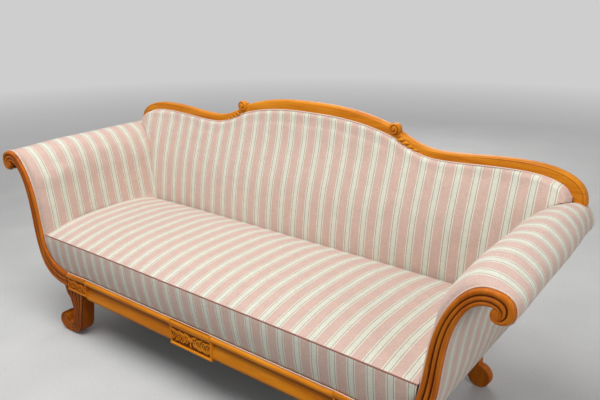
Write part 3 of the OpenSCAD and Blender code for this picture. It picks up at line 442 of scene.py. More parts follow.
ARM_IN = [[-0.783, 0.022], [-0.41, 0.022], [-0.13, 0.07], [-0.032, 0.18],
          [0.026, 0.268], [0.06, 0.355], [0.1, 0.478], [0.138, 0.592], [0.196, 0.693], [0.302, 0.781],
          [0.43, 0.886], [0.63, 1], [0.9, 1], [1.1, 1], [1.232, 0.97], [1.232, 0.904],
          [1.232, 0.855], [1.16, 0.822], [1.055, 0.822], [0.98, 0.822], [0.93, 0.842], [0.93, 0.871]]
ARM_OUT = [[-0.783, -0.145], [-0.33, -0.145], [-0.016, -0.088], [0.116, 0.035],
           [0.206, 0.118], [0.27, 0.237], [0.296, 0.355], [0.328, 0.493], [0.376, 0.658], [0.503, 0.763],
           [0.593, 0.844], [0.725, 0.906], [0.926, 0.906], [1, 0.908], [1.074, 0.897], [1.074, 0.873],
           [1.074, 0.856], [1.04, 0.844], [1, 0.844], [0.965, 0.844], [0.935, 0.856], [0.935, 0.873]]
ARM_IN_MOVE = [0, -0.3, -0.55, -0.55, -0.3, 0, 0.15, 0.3, 0.35, 0.3, 0.1, -0.25, -0.6,
               -0.85, -1, -1.05, -1.05, -1.05, -1, -0.95, -0.95, -0.95]
ARM_OUT_MOVE = [0, -0.5, -0.95, -0.95, -0.85, -0.65, -0.35, 0, 0.15, 0, -0.3, -0.7, -0.9,
                -1, -1, -1, -1, -1, -1, -1, -1, -1]


def arm_line(shares, moves, t, y):
    """The arm's outline (x, z) at parameter t for every depth y: the front curve, moved inwards in step with the depth."""
    r = np.clip((np.atleast_1d(y) - 0.046) / (0.707 - 0.046), 0, 1)[:, None]
    p = curve(shares, t)
    m = curve(np.asarray(moves, float)[:, None], t)[:, 0]
    x = SEAT_X + p[:, 0] * ARM_REACH + r * m * ARM_TAPER
    z = np.broadcast_to(FRAME_TOP + p[:, 1] * ARM_RISE, x.shape)
    return np.stack([x, z], -1)


def arm_foot_drop(t, line):
    """Brings the foot of the arm's inner edge down to the top of the corner tablet."""
    return line - np.stack([0 * t, 0.0155 * (1 - smooth(t, 0, 1.05))], -1)


EYE = (SEAT_X + ARM_REACH + 0.001, FRAME_TOP + 0.8725 * ARM_RISE)


def facing_part():
    """The reeded facing: a strip between the arm's two outlines. Across it three half-round reeds with grooves between; along it the two inner reeds run out at the eye."""
    t = np.r_[np.linspace(0, 3, 70, endpoint=False), np.linspace(3, 7, 190)]
    a, b = arm_foot_drop(t, arm_line(ARM_IN, ARM_IN_MOVE, t, [0])[0]), arm_line(ARM_OUT, ARM_OUT_MOVE, t, [0])[0]
    w = np.r_[0, 0, np.linspace(0, 1, 57), 1, 1]
    n = len(w)
    wide = np.linalg.norm(a - b, axis=1)[:, None]
    w1 = 0.37 + 0.60 * smooth(t, 4.1, 5.9)[:, None]
    w2 = 0.69 + 0.31 * smooth(t, 3.6, 5.2)[:, None]
    edges = [np.zeros_like(w1), w1, w2, np.ones_like(w1)]
    y, dark = np.zeros((len(t), n)), np.zeros((len(t), n))
    for lo, hi in zip(edges[:-1], edges[1:]):
        span = np.maximum(hi - lo, 1e-6)
        u = np.clip((w[None, :] - lo) / span, 0, 1) * 2 - 1
        inside = (w[None, :] >= lo) & (w[None, :] <= hi)
        outer = ((lo is edges[0]) & (u < 0)) | ((hi is edges[-1]) & (u > 0))
        deep = np.where(outer, 0.0065, 0.0120)
        fall = np.minimum(0.50 * span * wide, deep) * (1 - np.sqrt(np.clip(1 - u ** 2, 0, 1)) ** 0.9)
        y = np.where(inside, fall, y)
        # painted shade: the grooves between the reeds are darkened, the facing's outer edges are not
        dark = np.where(inside, smooth(np.abs(u), 0.40, 0.94) * (span * wide > 0.002) * ~outer, dark)
    fade = 1 - 0.85 * smooth(t, 5.6, 6.6)[:, None]
    y, dark = y * fade, dark * fade * smooth(t, 0, 0.25)[:, None]
    y[:, 0] = y[:, -1] = FACING_T
    y[:, 1] = y[:, -2] = FACING_T * 0.6
    xz = a[:, None] + (b - a)[:, None] * w[None, :, None]
    rings = np.stack([xz[..., 0], y, xz[..., 1]], -1)
    return *skin(rings), {"hollow": 0.8 * dark}


def eye_part(radius=0.0158, x=EYE[0], z=EYE[1], front=0.0006, back=FACING_T, dome=0.0012):
    """The flat eye: a disc with a rounded rim, as rings about its axis."""
    r = np.array([0.0, 0.5, 0.8, 0.92, 0.98, 1.0, 1.0]) * radius
    y = front + dome * np.array([0, 0.15, 0.5, 1.0, 1.8, 3.0, 6.0])
    y[-1] = back
    c = 2 * np.pi * np.arange(48) / 48
    rings = np.stack([x + r[:, None] * np.cos(c), np.broadcast_to(y[:, None], (len(r), 48)),
                      z + r[:, None] * np.sin(c)], -1)
    v = rings[1:].reshape(-1, 3)
    m = len(r) - 1
    front_fan = np.stack([np.arange(48), (np.arange(48) + 1) % 48, np.full(48, len(v))], -1)
    return np.vstack([v, rings[0, 0][None]]), [grid_quads(m, 48, wrap_v=True), front_fan,
                                               (np.arange(48) + (m - 1) * 48)[None, :]]


def sided(parts, side):
    """Parts made for the right, mirrored for the left."""
    return parts if side > 0 else [both_ways(p)[1] for p in parts]


SIDES = (("left", -1), ("right", 1))
for side_name, side in SIDES:
    piece(f"reeded_facing_{side_name}", sided([facing_part(), eye_part()], side), wood_z,
          f"arm_facing_{side_name}")

PAD_T = np.arange(15) / 2
FILL_FRONT = [0.1, 0.3, 0.6, 0.8, 0.8, 0.8, 1.2, 0.92, 0.2, -0.12, 0.05, 0.05, 0.05, 0.05, 0.05]
FILL_MID = [0.1, 0.1, 0.1, 0.1, 0.22, 0.41, 0.95, 1.25, 0.1, -0.15, 0.04, 0.05, 0.05, 0.05, 0.05]
FILL_BACK = [0.1, 0.3, 0.5, 0.53, 0.6, 0.8, 1.2, 0.95, 0.35, 0.1, 0.08, 0.05, 0.05, 0.05, 0.05]
STUFFING = 0.028


def eased(v, at, values):
    """Values at their places, joined by lines without kinks."""
    at, values = np.asarray(at, float), np.asarray(values, float)
    i = np.clip(np.searchsorted(at, v, side="right") - 1, 0, len(at) - 2)
    f = np.clip((v - at[i]) / (at[i + 1] - at[i]), 0, 1)
    slope = np.gradient(values, at)
    h = at[i + 1] - at[i]
    return ((2 * f ** 3 - 3 * f ** 2 + 1) * values[i] + (f ** 3 - 2 * f ** 2 + f) * h * slope[i]
            + (-2 * f ** 3 + 3 * f ** 2) * values[i + 1] + (f ** 3 - f ** 2) * h * slope[i + 1])


FULLER_Y, FULLER = [0.02, 0.10, 0.22, 0.36, 0.50, 0.61, 0.70, 0.74], [0, 0.012, 0.013, 0.017, 0.026, 0.018, 0, 0]


def arm_skin(t, y, side=-1):
    """Outer skin of the stuffed arm: its outline pushed outwards by the stuffing, which differs along the arm and swells
    the roll behind the facing. The right arm is stuffed fuller on its inner shoulder."""
    mid = smooth(y, 0.04, 0.25) * (1 - smooth(y, 0.26, 0.62))
    back = smooth(y, 0.26, 0.62)
    fill = (eased(t, PAD_T, FILL_FRONT)[None] * (1 - mid - back)[:, None]
            + eased(t, PAD_T, FILL_MID)[None] * mid[:, None] + eased(t, PAD_T, FILL_BACK)[None] * back[:, None])
    full = np.interp(y, [0.018, 0.022, 0.03, 0.045, 0.07, 0.66, 0.70, 0.722, 0.735], [0.0, 0.3, 0.62, 0.86, 1, 1, 0.92, 0.62, 0.1])
    lift = 0.5 * smooth(y, 0.05, 0.26) * (1 - 0.5 * smooth(y, 0.66, 0.735))
    line = arm_line(ARM_IN, ARM_IN_MOVE, t, y)
    out = line + left_of(line) * (0.001 + full[:, None] * STUFFING * fill)[..., None]
    out[..., 1] += lift[:, None] * STUFFING * np.exp(-((t - 4) / 0.8) ** 2)[None]
    out[..., 0] -= 0.008 * smooth(y, 0.45, 0.73)[:, None] * smooth(t, 4.0, 4.8)[None]
    if side > 0:
        more = eased(y, FULLER_Y, FULLER)[:, None] * np.sin(np.pi * np.clip((t - 2.6) / 1.8, 0, 1))[None] ** 2
        out += left_of(line) * more[..., None]
    return out


def arm_pad_part(side):
    """The stuffed inside arm and roll: skins at many depths, closed underneath along the arm's own outline."""
    t = np.r_[np.linspace(1.1, 3, 34, endpoint=False), np.linspace(3, 6.4, 84)]
    y = np.r_[0.0185, 0.019, 0.0205, 0.023, 0.027, 0.033, 0.04, np.linspace(0.05, 0.70, 50), 0.71, 0.72, 0.728, 0.7335, 0.7355]
    top = arm_skin(t, y, side)
    under = arm_line(ARM_IN, ARM_IN_MOVE, t, y) - left_of(arm_line(ARM_IN, ARM_IN_MOVE, t, y)) * 0.004
    rings = np.concatenate([top, under[:, ::-1]], axis=1)
    out = np.empty((*rings.shape[:2], 3))
    out[..., 0], out[..., 1], out[..., 2] = rings[..., 0], y[:, None], rings[..., 1]
    run = np.r_[0, np.cumsum(np.linalg.norm(np.diff(top[20], axis=0), axis=1))]
    marks = {"across": np.broadcast_to(y[:, None] - 0.070, out.shape[:2]),
             "down": np.broadcast_to(np.r_[run, run[::-1]], out.shape[:2])}
    held = np.ones(out.shape[:2], bool)
    held[5:-5, 4:len(t) - 4] = False
    return (*skin(out), marks), held.ravel()


for side_name, side in SIDES:
    part, held = arm_pad_part(side)
    pad = piece(f"stuffed_arm_{side_name}", sided([part], side), striped, f"arm_pad_{side_name}", crease=80)
    stuffed(pad, held, pressure=2.5, most=0.004)


def outside_arm_part():
    """The taut outside cover: the arm's hollow outline at every depth, a cloth's thickness deep."""
    t = np.linspace(0.33, 3.6, 70)
    y = np.r_[0.0185, np.linspace(0.03, 0.72, 40), 0.7355]
    line = arm_line(ARM_OUT, ARM_OUT_MOVE, t, y)
    n = left_of(line)
    hollow = 0.004 * np.sin(np.pi * (t - 0.33) / 3.27)[None] * np.sin(np.pi * np.clip((y - 0.02) / 0.715, 0, 1))[:, None]
    outer, inner = line + n * (0.004 + hollow)[..., None], line + n * (0.0025 + hollow)[..., None]
    rings = np.concatenate([outer, inner[:, ::-1]], axis=1)
    out = np.empty((*rings.shape[:2], 3))
    out[..., 0], out[..., 1], out[..., 2] = rings[..., 0], y[:, None], rings[..., 1]
    size = np.linalg.norm(np.diff(outer, axis=1), axis=-1).sum(1).mean()
    run = np.r_[0, np.cumsum(np.linalg.norm(np.diff(outer[20], axis=0), axis=1))]
    marks = {"across": np.broadcast_to(y[:, None] - 0.070, out.shape[:2]),
             "down": np.broadcast_to(np.r_[run, run[::-1]], out.shape[:2])}
    return (*skin(out), marks), float(size)


for side_name, side in SIDES:
    part, run = outside_arm_part()
    outside = piece(f"outside_arm_cover_{side_name}", sided([part], side), striped,
                    f"outside_arm_{side_name}", crease=80)


# ---- Seat --------------------------------------------------------------------------------------

def height_along(line, x):
    """Height of the outline where it first passes x on its way outwards."""
    z = np.interp(x, line[:, 0], line[:, 1])
    return z


ARM_FOOT = arm_foot_drop(np.linspace(0, 2.2, 80), arm_line(ARM_IN, ARM_IN_MOVE, np.linspace(0, 2.2, 80), [0])[0])


def seat_part():
    """The stuffed seat: closed profiles from the front edge over the top, carried along X. The top crowns, the front is a
    boxed border whose lower edge follows the rail and then the arms."""
    u = np.sin(np.pi / 2 * np.linspace(-1, 1, 131))
    au = np.abs(u)
    s = np.r_[0, 0.005, 0.012, 0.022, 0.036, 0.052, 0.072, np.linspace(0.1, 1, 34)]
    nb, nt, front = 14, len(s), 0.010
    y_top = front + 0.007 + (SEAT_D - 0.001 - front - 0.007) * s
    rise = eased(s, [0, 0.045, 0.08, 0.14, 0.3, 0.5, 0.7, 0.86, 0.95, 1], [0, 0.2, 0.32, 0.5, 0.78, 0.92, 0.94, 0.82, 0.6, 0.45])
    seam = SEAT_H - 0.004 * au ** 4
    z_top = seam[:, None] + SEAT_CROWN * rise[None] * (1 - 0.1 * au[:, None] ** 3)
    reach = 0.887
    rail_top = RAIL_TOP - (RAIL_TOP - CORNER_Z1) * np.clip((au * reach - MOULD_X) / (RAIL_X - MOULD_X), 0, 1)
    skirt = np.where(au * reach < RAIL_X, rail_top, height_along(ARM_FOOT, au * reach + 0.001)) + 0.0005
    skirt = np.minimum(skirt, 0.385)
    v = np.linspace(0, 1, nb)
    z_border = skirt[:, None] + (seam[:, None] - 0.0015 - skirt[:, None]) * v[None]
    y_border = front + 0.001 + 0.001 * v[None] - 0.0040 * np.sin(np.pi * v)[None] * np.ones_like(u)[:, None]
    y = np.concatenate([y_border, np.broadcast_to(y_top, (len(u), nt))], 1)
    z = np.concatenate([z_border, z_top], 1)
    floor_z = np.maximum(0.376, skirt + 0.004)
    under_y = 0.0565 + (y_top - y_top[0]) * (SEAT_D - 0.001 - 0.0565) / (y_top[-1] - y_top[0])
    under_z = 0.376 + (floor_z - 0.376)[:, None] * (1 - smooth(under_y, 0.06, 0.12))[None]
    wall_z = skirt[:, None] + 0.001 + (floor_z - skirt - 0.002)[:, None] * v[None]
    n = nb + nt
    rings = np.empty((len(u), 2 * n, 3))
    rings[:, :n, 1], rings[:, :n, 2] = y, z
    rings[:, n:n + nt, 1], rings[:, n:n + nt, 2] = under_y[::-1], under_z[:, ::-1]
    rings[:, n + nt:, 1], rings[:, n + nt:, 2] = 0.056, wall_z[:, ::-1]
    t = np.linspace(1.0, 2.6, 60)
    arm = arm_skin(t, rings[0, :, 1])
    touch = np.array([np.interp(h, row[:, 1], row[:, 0]) for h, row in zip(rings[0, :, 2], arm)])
    below = reach - 0.023 * smooth(rings[0, :, 1], 0.024, 0.075)
    side = np.where(rings[0, :, 2] > 0.39, np.minimum(reach, touch - 0.0008), np.minimum(below, touch - 0.0008))
    rings[..., 0] = u[:, None] * (side[None] * au[:, None] ** 6 + reach * (1 - au[:, None] ** 6))
    x = rings[..., 0]
    slip = np.interp(x, [-0.9, -0.7, -0.5, -0.3, -0.1, 0], [0.066, 0.044, 0.025, 0.012, 0.003, 0])
    border = np.arange(2 * n)[None] < nb
    slant = np.interp(x, [-0.1, 0.2, 0.35, 0.6], [0.30, 0.25, 0.13, 0.08])
    marks = {"across": np.where(border, x - 0.019 - slip + slant * (rings[..., 2] - 0.368), x + 0.0033),
             "down": np.where(border, rings[..., 2], rings[..., 1])}
    held = np.ones(x.shape, bool)
    held[4:-4, 2:nb - 1] = False
    held[4:-4, nb + 2:n - 3] = False
    return (*skin(rings), marks), held.ravel()


part, held = seat_part()
seat = piece("stuffed_seat", [part], striped, "seat_pad", crease=80)
stuffed(seat, held, pressure=2.0, most=0.003)


# ---- Crest and back ----------------------------------------------------------------------------

def crest_z(x, drop):
    """Height of the crest's top (drop 0) or lower edge (drop 1): an arch, a dip and a hump."""
    x = np.abs(np.asarray(x, float))
    dip, hump, knee = (h - drop * k * CREST_FACE for h, k in ((DIP_H, 0.76), (HUMP_H, 0.84), (BREAK_H, 0.86)))
    top = BACK_H - drop * CREST_FACE
    mid = top + (knee - top) * (x / SCROLL_X) ** 2.6
    fall = dip + (knee - dip) * (np.clip(DIP_X - x, 0, None) / (DIP_X - SCROLL_X)) ** 2
    swell = dip + (hump - dip) * (1 - np.cos(np.pi * np.clip((x - DIP_X) / (HUMP_X - DIP_X), 0, 1))) / 2
    return np.where(x <= SCROLL_X, mid, np.where(x <= DIP_X, fall, swell))


def crest_end(a, drop):
    """The crest's rounded end: a quarter of a superellipse from the hump down to the arm roll."""
    hump = HUMP_H - drop * 0.84 * CREST_FACE
    x = HUMP_X + (0.218 - drop * CREST_FACE) * np.sin(a) ** 0.8
    z = END_H + (hump - END_H) * np.maximum(np.cos(a), 0) ** 0.8
    return np.stack([x, z], -1)


def crest_line(drop, n=90):
    """The right side of the crest from the carved scroll to its end."""
    x = np.linspace(SCROLL_X, HUMP_X, n)
    end = crest_end(np.linspace(0, np.pi / 2, 60)[1:] , drop)
    return np.vstack([np.stack([x, crest_z(x, drop)], -1), end])


CREST_SECTION = np.array([[0, 0.5], [0, 0.04], [0.02, 0.012], [0.06, 0.0], [0.16, -0.008], [0.3, -0.015], [0.45, -0.017],
                          [0.6, -0.012], [0.69, -0.006], [0.73, -0.002], [0.755, 0.0], [0.775, 0.001], [0.795, 0.002],
                          [0.83, 0.006], [0.88, 0.02], [0.93, 0.07], [0.965, 0.14], [0.99, 0.24], [1.0, 0.36],
                          [0.995, 0.5], [0.97, 0.62], [0.92, 0.74], [0.85, 0.84], [0.75, 0.93], [0.62, 0.985],
                          [0.5, 1.0], [0.0, 1.0]])
QUIRK = np.exp(-((CREST_SECTION[:, 0] - 0.775) / 0.018) ** 2) * (CREST_SECTION[:, 1] < 0.05)


def crest_part(top, foot, quirk):
    """The crest rail: a moulded section carried between its two edges. A quirk line (its share along the rail given) runs inside the top edge."""
    c = foot[:, None] + (top - foot)[:, None] * CREST_SECTION[None, :, 0, None]
    groove = QUIRK[None] * np.broadcast_to(quirk, (len(top),))[:, None]
    rings = np.empty((len(top), len(CREST_SECTION), 3))
    rings[..., 0], rings[..., 2] = c[..., 0], c[..., 1]
    rings[..., 1] = CREST_Y + CREST_SECTION[None, :, 1] * CREST_T + 0.0022 * groove
    # painted shade: the quirk's groove and a strip along the rail's lower edge, beside the cloth, are darkened
    low = np.exp(-(CREST_SECTION[:, 0] / 0.03) ** 2) * 0.5
    return *skin(rings, cap="flat"), {"hollow": np.maximum(0.5 * groove, low[None])}


x_mid = np.linspace(-SCROLL_X, SCROLL_X, 121)
piece("crest_arch", [crest_part(np.stack([x_mid, crest_z(x_mid, 0)], -1), np.stack([x_mid, crest_z(x_mid, 1)], -1), 0)],
      wood_x, "crest_centre", crease=50)
for side_name, side in SIDES:
    shoulder = crest_part(crest_line(0), crest_line(1), smooth(crest_line(0)[:, 0], DIP_X, HUMP_X))
    piece(f"crest_shoulder_{side_name}", sided([shoulder], side), wood_x,
          f"crest_{side_name}", crease=50)


KNOB = (SCROLL_X - 0.004, BREAK_H + 0.0005, 0.0208)


def knob_part():
    """The carved scroll: a round knob whose face is a spiral roll, in rings about its axis, drawn back over the rail's top."""
    nr, nc = 34, 84
    c = 2 * np.pi * np.arange(nc) / nc
    R, C = np.meshgrid(np.linspace(0, 1, nr), c, indexing="ij")
    turn = (R * 1.75 + C / (2 * np.pi) + 0.1) % 1.0
    gap = np.exp(-((turn - 0.5) / 0.13) ** 2) * smooth(R, 0.16, 0.34) * (1 - smooth(R, 0.93, 1.0))
    y = CREST_Y - 0.0125 + 0.0052 * R ** 2 + 0.0048 * gap
    x = KNOB[0] + KNOB[2] * R * np.cos(C)
    z = KNOB[1] + KNOB[2] * R * np.sin(C)
    front = np.stack([x, y, z], -1)
    wall, back = [], CREST_Y + 0.020
    for share, out in ((0.06, 1.035), (0.2, 1.05), (0.5, 1.04), (0.85, 1.0), (1.0, 0.92)):
        wall.append(np.stack([KNOB[0] + KNOB[2] * out * np.cos(c), np.full(nc, CREST_Y - 0.0073 + (back - CREST_Y + 0.0073) * share),
                              KNOB[1] + KNOB[2] * out * np.sin(c)], -1))
    rings = np.concatenate([front[1:], np.stack(wall)])
    v = np.vstack([rings.reshape(-1, 3), front[0, 0][None]])
    m = len(rings)
    fan = np.stack([np.arange(nc), (np.arange(nc) + 1) % nc, np.full(nc, m * nc)], -1)
    # painted shade in the spiral's groove
    dark = np.r_[(0.95 * gap[1:]).ravel(), np.zeros(5 * nc), 0]
    return v, [grid_quads(m, nc, wrap_v=True), fan, (np.arange(nc) + (m - 1) * nc)[None, :]], {"hollow": dark}


def leaf_part():
    """The leaf beside the scroll: a tapering band on the lower half of the rail's face, cut into five lobes.

    A lobe is a sine along the band, slanted up and away from the scroll; the gaps between the lobes are deep."""
    n, k = 170, 27
    s, w = np.linspace(0, 1, n)[:, None], np.linspace(0, 1, k)[None]
    x = SCROLL_X + 0.008 + 0.112 * s + 0.010 * w * (1 - s)
    foot = crest_z(x, 1)
    width = 0.024 * (1 - s) ** 0.75 + 0.0035
    phase = 5.4 * s ** 0.92 - 0.85 * (w - 0.5)
    lobe = np.abs(np.sin(np.pi * phase)) ** 0.55
    z = foot + 0.0008 + width * w * (0.90 + 0.14 * lobe)
    belly = np.clip(1 - (2 * w - 1) ** 2, 0, 1) ** 0.4
    y = CREST_Y + 0.0012 - belly * (0.0085 * (1 - s) + 0.0030) * (0.18 + 0.82 * lobe)
    front = np.stack([np.broadcast_to(x, z.shape), y, z], -1)
    back = front[:, ::-1].copy()
    back[..., 1] = CREST_Y + 0.004
    # painted shade in the gaps between the lobes
    dark = (1 - lobe) ** 1.3 * np.ones_like(z)
    return *skin(np.concatenate([front, back], 1)), {"hollow": np.concatenate([dark, dark[:, ::-1]], 1)}


for side_name, side in SIDES:
    piece(f"carved_scroll_{side_name}", sided([knob_part(), leaf_part()], side), wood_x,
          f"crest_scroll_{side_name}", crease=60)


BACK_Z = [0.40, 0.435, 0.53, 0.63, 0.73, 0.81, 0.90, 0.96]
BACK_FACE = [0.586, 0.589, 0.600, 0.618, 0.648, 0.671, 0.683, 0.6845]


def back_part():
    """The stuffed back: columns from the seat or the arms up to the crest. The front leans back and swells below; its
    top edge stands proud of the crest's face and turns back to it in a small quarter round, its ends swell forward."""
    x_end, n = 1.017, 50
    u = np.linspace(-1, 1, 171)
    x = x_end * np.sign(u) * (1 - (1 - np.abs(u)) ** 1.35)
    ax = np.abs(x)
    rim = crest_end(np.linspace(0, np.pi / 2, 200), 1)
    low = np.where(ax <= HUMP_X, crest_z(ax, 1), np.interp(ax, rim[:, 0], rim[:, 1]))
    end = smooth(ax, HUMP_X - 0.08, x_end - 0.02)
    z1 = low + 0.0025 + 0.0050 * smooth(ax, 0.93, 1.0)
    depths = np.linspace(0.60, 0.70, 11)
    rest = np.empty((len(depths), len(x)))
    for side in (-1, 1):
        for row, line in zip(rest, arm_skin(np.linspace(1.5, 4.3, 200), depths, side)):
            height = np.interp(ax, np.maximum.accumulate(line[:, 0]), line[:, 1], left=0.408) + 0.001
            row[x * side >= 0] = height[x * side >= 0]
    swell, fall = 0.010 * smooth(ax, 0.35, 0.72) * (1 - end), 0.016 * end

    def face(z):
        """Depth of the pad's face at height z."""
        shape = (slice(None),) + (None,) * (z.ndim - 1)
        y = eased(z, BACK_Z, BACK_FACE) + swell[shape] - fall[shape] * smooth(z, 0.6, 0.74)
        return np.minimum(y, CREST_Y - 0.0075)

    def resting(y):
        """Height of the arm's skin under each column at the depth y."""
        at = np.clip((y - depths[0]) / (depths[1] - depths[0]), 0, len(depths) - 1.001)
        k = at.astype(int)
        return rest[k, np.arange(len(x))] * (1 - at + k) + rest[k + 1, np.arange(len(x))] * (at - k)

    foot = np.maximum(rest[4], 0.408)
    for again in range(6):
        foot = np.maximum(resting(face(foot)), 0.408)
    rear_foot = np.maximum(resting(np.full(len(x), 0.69)), 0.408)
    z1 = np.maximum(z1, foot + 0.010)
    v = np.linspace(0, 1, n) ** 0.9
    z = foot[:, None] + (z1 - foot)[:, None] * v[None]
    y = face(z)
    wood = CREST_Y - 0.0012
    over = np.clip(1 - (1 - v)[None] * (z1 - foot)[:, None] / 0.013, 0, 1)
    turned = 1 - np.sqrt(1 - over ** 2)
    out = np.clip(1 - (x_end - ax) / 0.012, 0, 1)[:, None]
    turned = np.maximum(turned, 1 - np.sqrt(1 - out ** 2))
    y_front = y + turned * (wood - y)
    z_rear = rear_foot[:, None] + (z1 - rear_foot)[:, None] * v[None]
    y_rear = np.minimum(0.652 + (z_rear - FRAME_TOP) / (0.85 - FRAME_TOP) * 0.035, wood + 0.0004)
    y_rear = np.maximum(y_rear, y_front + 0.0006)
    rings = np.empty((len(x), 2 * n, 3))
    rings[..., 0] = x[:, None]
    rings[:, :n, 1], rings[:, :n, 2] = y_front, z
    rings[:, n:, 1], rings[:, n:, 2] = y_rear[:, ::-1], z_rear[:, ::-1]
    marks = {"across": (rings[..., 0] - 0.042) * 65.8 / 66.3, "down": rings[..., 2]}
    held = np.ones(rings.shape[:2], bool)
    held[5:-5, 3:n - 6] = False
    return (*skin(rings), marks), held.ravel()


part, held = back_part()
back = piece("stuffed_back", [part], striped, "back_pad", crease=80)
stuffed(back, held, pressure=2.0, most=0.003)


# ---- Rail and tablets --------------------------------------------------------------------------

def arc(cy, cz, ry, rz, a0, a1, n):
    """Points on an ellipse's arc in y and z, angles in degrees from +y."""
    a = np.radians(np.linspace(a0, a1, n))
    return np.stack([cy + ry * np.cos(a), cz + rz * np.sin(a)], -1)


MOULDING = np.vstack([[[0.018, RAIL_TOP]], arc(0.016, 0.2735, 0.0150, 0.0133, 90, 262, 20),
                      [[0.0118, 0.2590], [0.0138, 0.2535], [0.0145, 0.2475], [0.0141, 0.2415], [0.0128, 0.2355],
                       [0.0110, 0.2295], [0.0092, 0.2235]],
                      arc(0.0150, 0.2095, 0.0085, 0.0138, 150, 264, 16), [[0.018, LIP_Z]]])
# painted shade on the moulding: under the convex top and under the lip
MOULDING_SHADE = np.interp(MOULDING[:, 1], [0.196, 0.201, 0.206, 0.236, 0.246, 0.253, 0.258, 0.264],
                          [0.8, 0.35, 0, 0, 0.3, 0.6, 0.7, 0])


def rail_parts():
    """The front rail: a plain board with a moulded face, convex top, cove and lip, between the tablets."""
    parts = [along([[0.0175, FRAME_Z], [0.058, FRAME_Z], [0.058, FRAME_TOP - 0.0005], [0.0175, FRAME_TOP - 0.0005]], -RAIL_X, RAIL_X)]
    profile = np.vstack([MOULDING, [[0.019, LIP_Z], [0.019, FRAME_TOP]]])
    for lo, hi in ((-MOULD_X, -TABLET_W / 2), (TABLET_W / 2, MOULD_X)):
        parts.append(along(profile, lo, hi, np.r_[MOULDING_SHADE, 0, 0]))
    return parts


piece("moulded_front_rail", rail_parts(), rail_wood, "front_rail", crease=30)


def strokes(x, z, lines):
    """Carved relief: round-backed strokes whose height at a point is the tallest dome over it. Each stroke is points with radii."""
    h = np.zeros(x.shape)
    flat = np.stack([x.ravel(), z.ravel()], -1)
    for points, radii, tall in lines:
        d = np.linalg.norm(flat[:, None] - points[None], axis=-1) / radii[None]
        dome = np.sqrt(np.clip(1 - d ** 2, 0, 1)) * radii[None] * tall
        h = np.maximum(h, dome.max(1).reshape(x.shape))
    return h


def panel_part(x, z, height, hollow, front, back):
    """A carved panel: a grid in x and z whose front stands out by the height, with straight sides and a flat back."""
    X, Z, Y, H = (np.pad(k, 1, mode="edge") for k in (x, z, front - height, hollow))
    Y[0] = Y[-1] = Y[:, 0] = Y[:, -1] = back
    nu, nv = X.shape
    rim = np.concatenate([np.arange(nv), nv * np.arange(1, nu) + nv - 1, nu * nv - 2 - np.arange(nv - 1),
                          nv * np.arange(nu - 2, 0, -1)])
    return np.stack([X, Y, Z], -1).reshape(-1, 3), [grid_quads(nu, nv), rim[None, ::-1]], {"hollow": H}


def bead(v, lo, hi):
    """A half-round ridge between lo and hi, 1 on its crown."""
    return np.sqrt(np.clip(1 - ((v - (lo + hi) / 2) / ((hi - lo) / 2)) ** 2, 0, 1))


def leaf_stroke(root, angle, length, wide, bend=0.0, n=14):
    """One carved leaf: a stroke that starts at root, runs at an angle in degrees and bends, thickest past its middle."""
    s = np.linspace(0, 1, n)
    a = np.radians(angle + bend * s)
    step = np.stack([np.cos(a), np.sin(a)], -1) * length / (n - 1)
    points = np.asarray(root, float) + np.vstack([[0, 0], np.cumsum(step[:-1], 0)])
    return points, wide * (0.35 + 0.65 * np.sin(np.pi * np.clip(s * 0.9 + 0.08, 0, 1))), 0.9


GROUND = 0.0078


def plain_band(z, top):
    """The plain rounded band over the carving, falling back above it to meet the cloth."""
    round_part = 0.0074 * np.sqrt(np.clip(1 - ((z - top + 0.018) / 0.0118) ** 2, 0, 1)) ** 0.7
    slope = 0.0056 * smooth(z, top - 0.018, top - 0.014) * (1 - 0.75 * smooth(z, top - 0.012, top))
    return np.maximum(round_part, slope)


def centre_panel():
    """The middle tablet: a waving stem with curled leaves left and right of a bud, in a frame, under a plain rounded band."""
    half = TABLET_W / 2
    x, z = np.meshgrid(np.linspace(0, half, 170), np.linspace(TABLET_Z0, TABLET_Z1, 170), indexing="ij")
    stem = smooth_line([[0.004, 0.232], [0.018, 0.2350], [0.032, 0.2290], [0.048, 0.2340], [0.064, 0.2285], [0.080, 0.2335],
                        [0.093, 0.2300]], 80)
    lines = [(stem, np.linspace(0.0026, 0.0018, 80), 1.0)]
    for k, at in enumerate(np.linspace(5, 74, 9).astype(int)):
        root = stem[at]
        lines.append(leaf_stroke(root, 96, 0.0265, 0.0036, -88 - 6 * (k % 2)))
        lines.append(leaf_stroke(root + [0.004, 0], -92, 0.0280, 0.0036, 78 + 8 * (k % 2)))
    for a in (-40, -16, 16, 40):
        lines.append(leaf_stroke((0, 0.226), 90 - a, 0.0265 - 0.00022 * abs(a), 0.0042, 0.5 * a))
    lines.append(leaf_stroke((0, 0.2045), 90, 0.024, 0.0040))
    field = (x < half - 0.0072) & (z > 0.2005) & (z < 0.2600)
    relief = np.minimum(strokes(x, z, lines) * 1.7, 0.0068) * field
    ends = 0.0062 * bead(x, half - 0.0072, half + 0.0008)
    foot = 0.0074 * bead(z, 0.1885, 0.2010)
    height = np.maximum.reduce([relief, ends, foot, plain_band(z, TABLET_Z1)])
    # painted shade on the sunk ground between the carved strokes
    hollow = 0.9 * (1 - smooth(height, 0.0002, 0.0044))
    x, z, height, hollow = (np.concatenate([k[:0:-1] * (-1 if i == 0 else 1), k]) for i, k in enumerate((x, z, height, hollow)))
    return panel_part(x, z, height, hollow, GROUND, FACING_T)


piece("carved_centre_tablet", [centre_panel()], rail_wood, "centre_tablet", crease=50)


